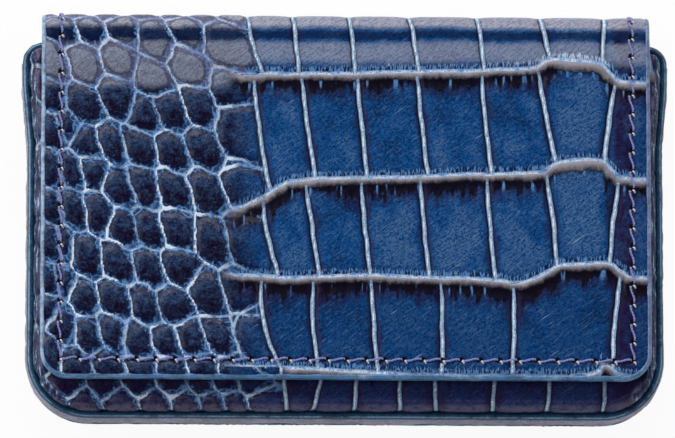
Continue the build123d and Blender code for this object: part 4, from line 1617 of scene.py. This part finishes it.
class CARD_OT_linings(CardCaseOperator, bpy.types.Operator):
    """Makes the linings of the flap, the spine and both sides of the pocket"""
    bl_idname = "card_case.linings"
    bl_label = "Linings"

    def make(self):
        rows, half = cover_rows(LINING_GAP, PAINT)
        piece = cover_lining("flap_inner_lining", rows, half - 0.05, True)
        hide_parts("flap_lining", "spine_lining")
        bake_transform(piece)
        inset = SEAM + LEATHER + 0.1
        rows, half = panel_rows(inset, LINING_GAP)
        neck = np.arange(rows[-1] + 0.4, SEAM_S + 0.3, 0.6)
        neck[-1] = SEAM_S
        rows = np.concatenate([rows, neck])
        half = np.concatenate([half, np.full(len(neck), FLAP_X - PAINT - 0.05)])
        piece = cover_lining("back_inner_lining", rows, half, False)
        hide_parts("back_lining")
        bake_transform(piece)
        rows, half = panel_rows(inset, LINING_GAP, top_corner=False)
        under_hem = rows < 21.4
        rows, half = rows[under_hem], half[under_hem]
        piece, x, y = start_sheet("front_inner_lining", rows, half, LINING_COLUMNS, side=-1)
        place(piece, np.column_stack([x, y, POCKET_TOP - PANEL + 0.02 + 0.03 * rough(x, y, 5.0, 82)]))
        finish_lining(piece)
        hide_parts("front_lining")
        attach(piece, "pocket")


class CARD_OT_gusset(CardCaseOperator, bpy.types.Operator):
    """Makes the bowed gusset with its creases, its lining and the bindings of its two ends"""
    bl_idname = "card_case.gusset"
    bl_label = "Gusset"

    def make(self):
        half = (POCKET_TOP - 2 * RIM - 0.8) / 2
        piece = self.bowed_sheet("gusset_leather", half, 0.0, 1.0)
        thicken(piece, 0.74)
        smooth(piece, 60)
        dress(piece, MATERIALS["gusset"])
        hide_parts("gusset")
        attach(piece, "pocket")
        piece = self.bowed_sheet("gusset_inner_lining", half, 1.28, 0.5)
        edit(piece, bpy.ops.mesh.flip_normals)
        thicken(piece, 0.44)
        smooth(piece, 60)
        dress(piece, MATERIALS["lining"])
        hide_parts("gusset_lining")
        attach(piece, "pocket")
        for side, node in ((-1, "gusset_binding_left"), (1, "gusset_binding_right")):
            piece = self.binding(node.replace("gusset_", "") + "_strip", side, half)
            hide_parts(node)
            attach(piece, "pocket")

    def bowed_sheet(self, name, half, inwards, share):
        """A sheet along the pocket's seam, half wide to each side, with a share of the leather's creases."""
        line, out, length = side_line(SEAM, None, 0.55)
        section = [(-inwards + 0.7 * (1 - (up / half) ** 2), up) for up in np.linspace(-half, half, 19)]

        def creases(along, turned, reach, up):
            at = along * length
            folds = 0.16 * rough(at, up * 0.5, 1.6, 91) * soft((3.0 - np.abs(up)) / 1.2)
            middle = -0.34 * ridge(up + 0.12 * np.sin(at / 9), 0.28)
            return (folds + middle) * share, np.zeros(len(at))

        return swept(name, line, out, POCKET_TOP / 2, section, closed=False, waver=creases)

    def binding(self, name, side, half):
        """The strip that binds one end of the gusset."""
        section = []
        for x, y, start in ((-0.1, 25.5, 0), (-1.2, 25.5, 90), (-1.2, 23.7, 180), (-0.1, 23.7, 270)):
            for turn in np.radians([start, start + 22, start + 45, start + 67, start + 90]):
                section.append((x + 0.5 * math.cos(turn), y + 0.5 * math.sin(turn)))
        section = np.array(section + section[:1])
        heights = np.linspace(-half, half, 24)
        piece, row, column = start_sweep(name, heights, section)
        up = heights[row]
        x, y = section[column].T
        bow = 0.7 * (1 - (up / half) ** 2)
        pucker = 0.07 * rough(up, y * 2, 0.8, 95)
        out = MOUTH_WIDTH / 2 - SEAM + x + bow + pucker
        place(piece, np.column_stack([side * out, y + pucker, POCKET_TOP / 2 + up]))
        edit(piece, weld, close_ends, face_out)
        smooth(piece, 60)
        dress(piece, MATERIALS["piping"])
        return piece


class CARD_OT_pipings(CardCaseOperator, bpy.types.Operator):
    """Makes the two pipings, each a soft round bead with its sewn tape"""
    bl_idname = "card_case.pipings"
    bl_label = "Pipings"

    def make(self):
        piece = self.cord("piping_front_cord", POCKET_TOP - RIM - 0.2, 3.0, 98)
        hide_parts("front_piping")
        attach(piece, "pocket")
        piece = self.cord("piping_back_cord", RIM + 0.2, -0.45, 96)
        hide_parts("back_piping")
        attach(piece, "pocket")

    def cord(self, name, level, tuck, seed):
        """A piping at a height, which stops tuck along the mouth."""
        line, out, length = side_line(SEAM, tuck, 0.45)
        bead = around(0.6, 0, 0.6, -155, 155, 17)
        section = bead + [(-0.75, 0.2), (-0.75, -0.2), bead[0]]

        def swell(along, turned, reach, up):
            at = along * length
            bumps = 0.05 * rough(at, turned * 4, 1.3, seed)
            gathers = 0.05 * np.sin(at * 5.5) * (np.abs(rough(at, at * 0, 6, 99)) > 0.35)
            lift = (bumps + gathers) * (reach > 0.1) / np.maximum(np.hypot(reach - 0.6, up), 0.2)
            return lift * (reach - 0.6), lift * up

        piece = swept(name, line, out, level, section, closed=True, waver=swell)
        dress(piece, MATERIALS["piping"])
        return piece


class CARD_OT_stitching(CardCaseOperator, bpy.types.Operator):
    """Sews the flap, spine and neck, and the hem inside the pocket's mouth"""
    bl_idname = "card_case.stitching"
    bl_label = "Stitching"

    def make(self):
        piece = thread_run("flap_thread", FLAP_ROWS, 0.04)
        points = points_of(piece)
        on_top = (points[:, 2] > THICK - 1.2) & (points[:, 1] < 31)
        points[:, 2] -= np.where(on_top, hinge_dip(points[:, 0], points[:, 1]), 0)
        place(piece, points)
        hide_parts("flap_stitching", "spine_stitching")
        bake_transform(piece)
        piece = thread_run("neck_thread", NECK_ROWS, -0.06, upper=False)
        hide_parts("back_stitching")
        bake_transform(piece)
        piece = thread_run("hem_thread", HEM_ROWS, 0.04)
        place(piece, points_of(piece) - [0, 0, THICK - POCKET_TOP])
        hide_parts("mouth_stitching")
        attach(piece, "pocket")


class CARD_OT_inner_parts(CardCaseOperator, bpy.types.Operator):
    """Gives the boards, the steel plate and the magnet their finishes"""
    bl_idname = "card_case.inner_parts"
    bl_label = "Inner parts"

    def make(self):
        for name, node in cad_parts.items():
            if "board" in name:
                dress(node, MATERIALS["board"])
            elif name == "closure_plate":
                dress(node, MATERIALS["steel"])
            elif name == "flap_magnet":
                dress(node, MATERIALS["magnet"])


class CARD_OT_stage(CardCaseOperator, bpy.types.Operator):
    """Sets up the floor, the lamps and the camera"""
    bl_idname = "card_case.stage"
    bl_label = "Stage"

    def make(self):
        stage = bpy.context.scene.card_case_stage
        bpy.context.scene.view_settings.view_transform = "Standard"
        self.add_floor(stage)
        self.light_world(stage)
        for name, at, size, power in LAMPS:
            self.add_lamp(name, Vector(at), size, power)
        self.add_camera(stage)

    def add_floor(self, stage):
        bpy.ops.object.select_all(action="DESELECT")
        bpy.ops.mesh.primitive_plane_add(size=6)
        floor = bpy.context.object
        floor.name = "floor"
        place(floor, points_of(floor) - [0, 0, 0.02])
        f = Finish("Pale floor", Roughness=0.9, Specular_IOR_Level=0.0)
        f.feed(f.shader.inputs["Base Color"], stage.floor)
        glow = f.value("ShaderNodeEmission", [("Color", stage.floor), ("Strength", 1.0)], 0)
        mixed = f.seen_or_lit(glow, f.shader.outputs[0], 0.93)
        f.feed(f.tree.nodes["Material Output"].inputs["Surface"], mixed)
        floor.data.materials.append(f.material)

    def light_world(self, stage):
        """A dim sky that lights the case, which the camera sees as bright as the floor."""
        world = bpy.data.worlds.new("Studio")
        bpy.context.scene.world = world
        world.use_nodes = True
        nodes = Nodes(world.node_tree)
        back = nodes.tree.nodes["Background"]
        nodes.feed(back.inputs["Color"], srgb(236, 240, 255))
        nodes.feed(back.inputs["Strength"], stage.world)
        bright = nodes.value("ShaderNodeBackground", [("Color", stage.floor), ("Strength", 1.0)], 0)
        mixed = nodes.seen_or_lit(bright, back.outputs[0])
        nodes.feed(nodes.tree.nodes["World Output"].inputs["Surface"], mixed)

    def add_lamp(self, name, at, size, power):
        """A soft lamp, turned to the case."""
        bpy.ops.object.light_add(type="AREA", location=at)
        lamp = bpy.context.object
        lamp.name = name
        lamp.data.shape = "RECTANGLE"
        lamp.data.size, lamp.data.size_y = size
        lamp.data.energy = power
        lamp.rotation_euler = (at - Vector((0, 0, 0.01))).to_track_quat("Z", "Y").to_euler()

    def add_camera(self, stage):
        aim = Vector((-0.00145, -0.0010, THICK / 1000))
        sideways = -math.sin(math.radians(2))
        back = Vector((sideways, -math.sin(stage.tilt), math.cos(stage.tilt))).normalized()
        bpy.ops.object.camera_add(location=aim + back * stage.distance)
        camera = bpy.context.object
        camera.name = "case_camera"
        level = Vector((0, 1, 0)).cross(back).normalized()
        camera.rotation_euler = Matrix((level, back.cross(level), back)).transposed().to_euler()
        camera.data.lens = stage.lens
        camera.data.clip_end = 20
        bpy.context.scene.camera = camera


PIECE_OPERATORS = (
    CARD_OT_flap_cover, CARD_OT_front_panel, CARD_OT_back_cover, CARD_OT_edge_paint, CARD_OT_linings,
    CARD_OT_gusset, CARD_OT_pipings, CARD_OT_stitching, CARD_OT_inner_parts, CARD_OT_stage,
)


class CARD_PT_panel(bpy.types.Panel):
    """Card case builder"""
    bl_idname = "CARD_PT_panel"
    bl_label = "Card case"
    bl_space_type = "VIEW_3D"
    bl_region_type = "UI"
    bl_category = "Card case"

    def draw(self, context):
        for name, kind in GROUPS.items():
            box = self.layout.box()
            for setting in kind.__annotations__:
                box.prop(getattr(context.scene, name), setting)
        for operator in PIECE_OPERATORS:
            self.layout.operator(operator.bl_idname)


GROUPS = {
    "card_case_sizes": CardCaseSizes,
    "card_case_colours": CardCaseColours,
    "card_case_stage": CardCaseStage,
}
CLASSES = tuple(GROUPS.values()) + PIECE_OPERATORS + (CARD_PT_panel,)


def register():
    for kind in CLASSES:
        bpy.utils.register_class(kind)
    for name, kind in GROUPS.items():
        setattr(bpy.types.Scene, name, bpy.props.PointerProperty(type=kind))


def unregister():
    for name in GROUPS:
        delattr(bpy.types.Scene, name)
    for kind in reversed(CLASSES):
        bpy.utils.unregister_class(kind)


def main():
    register()
    mix_materials()
    for operator in PIECE_OPERATORS:
        group, name = operator.bl_idname.split(".")
        getattr(getattr(bpy.ops, group), name)()


if __name__ == "__main__":
    main()
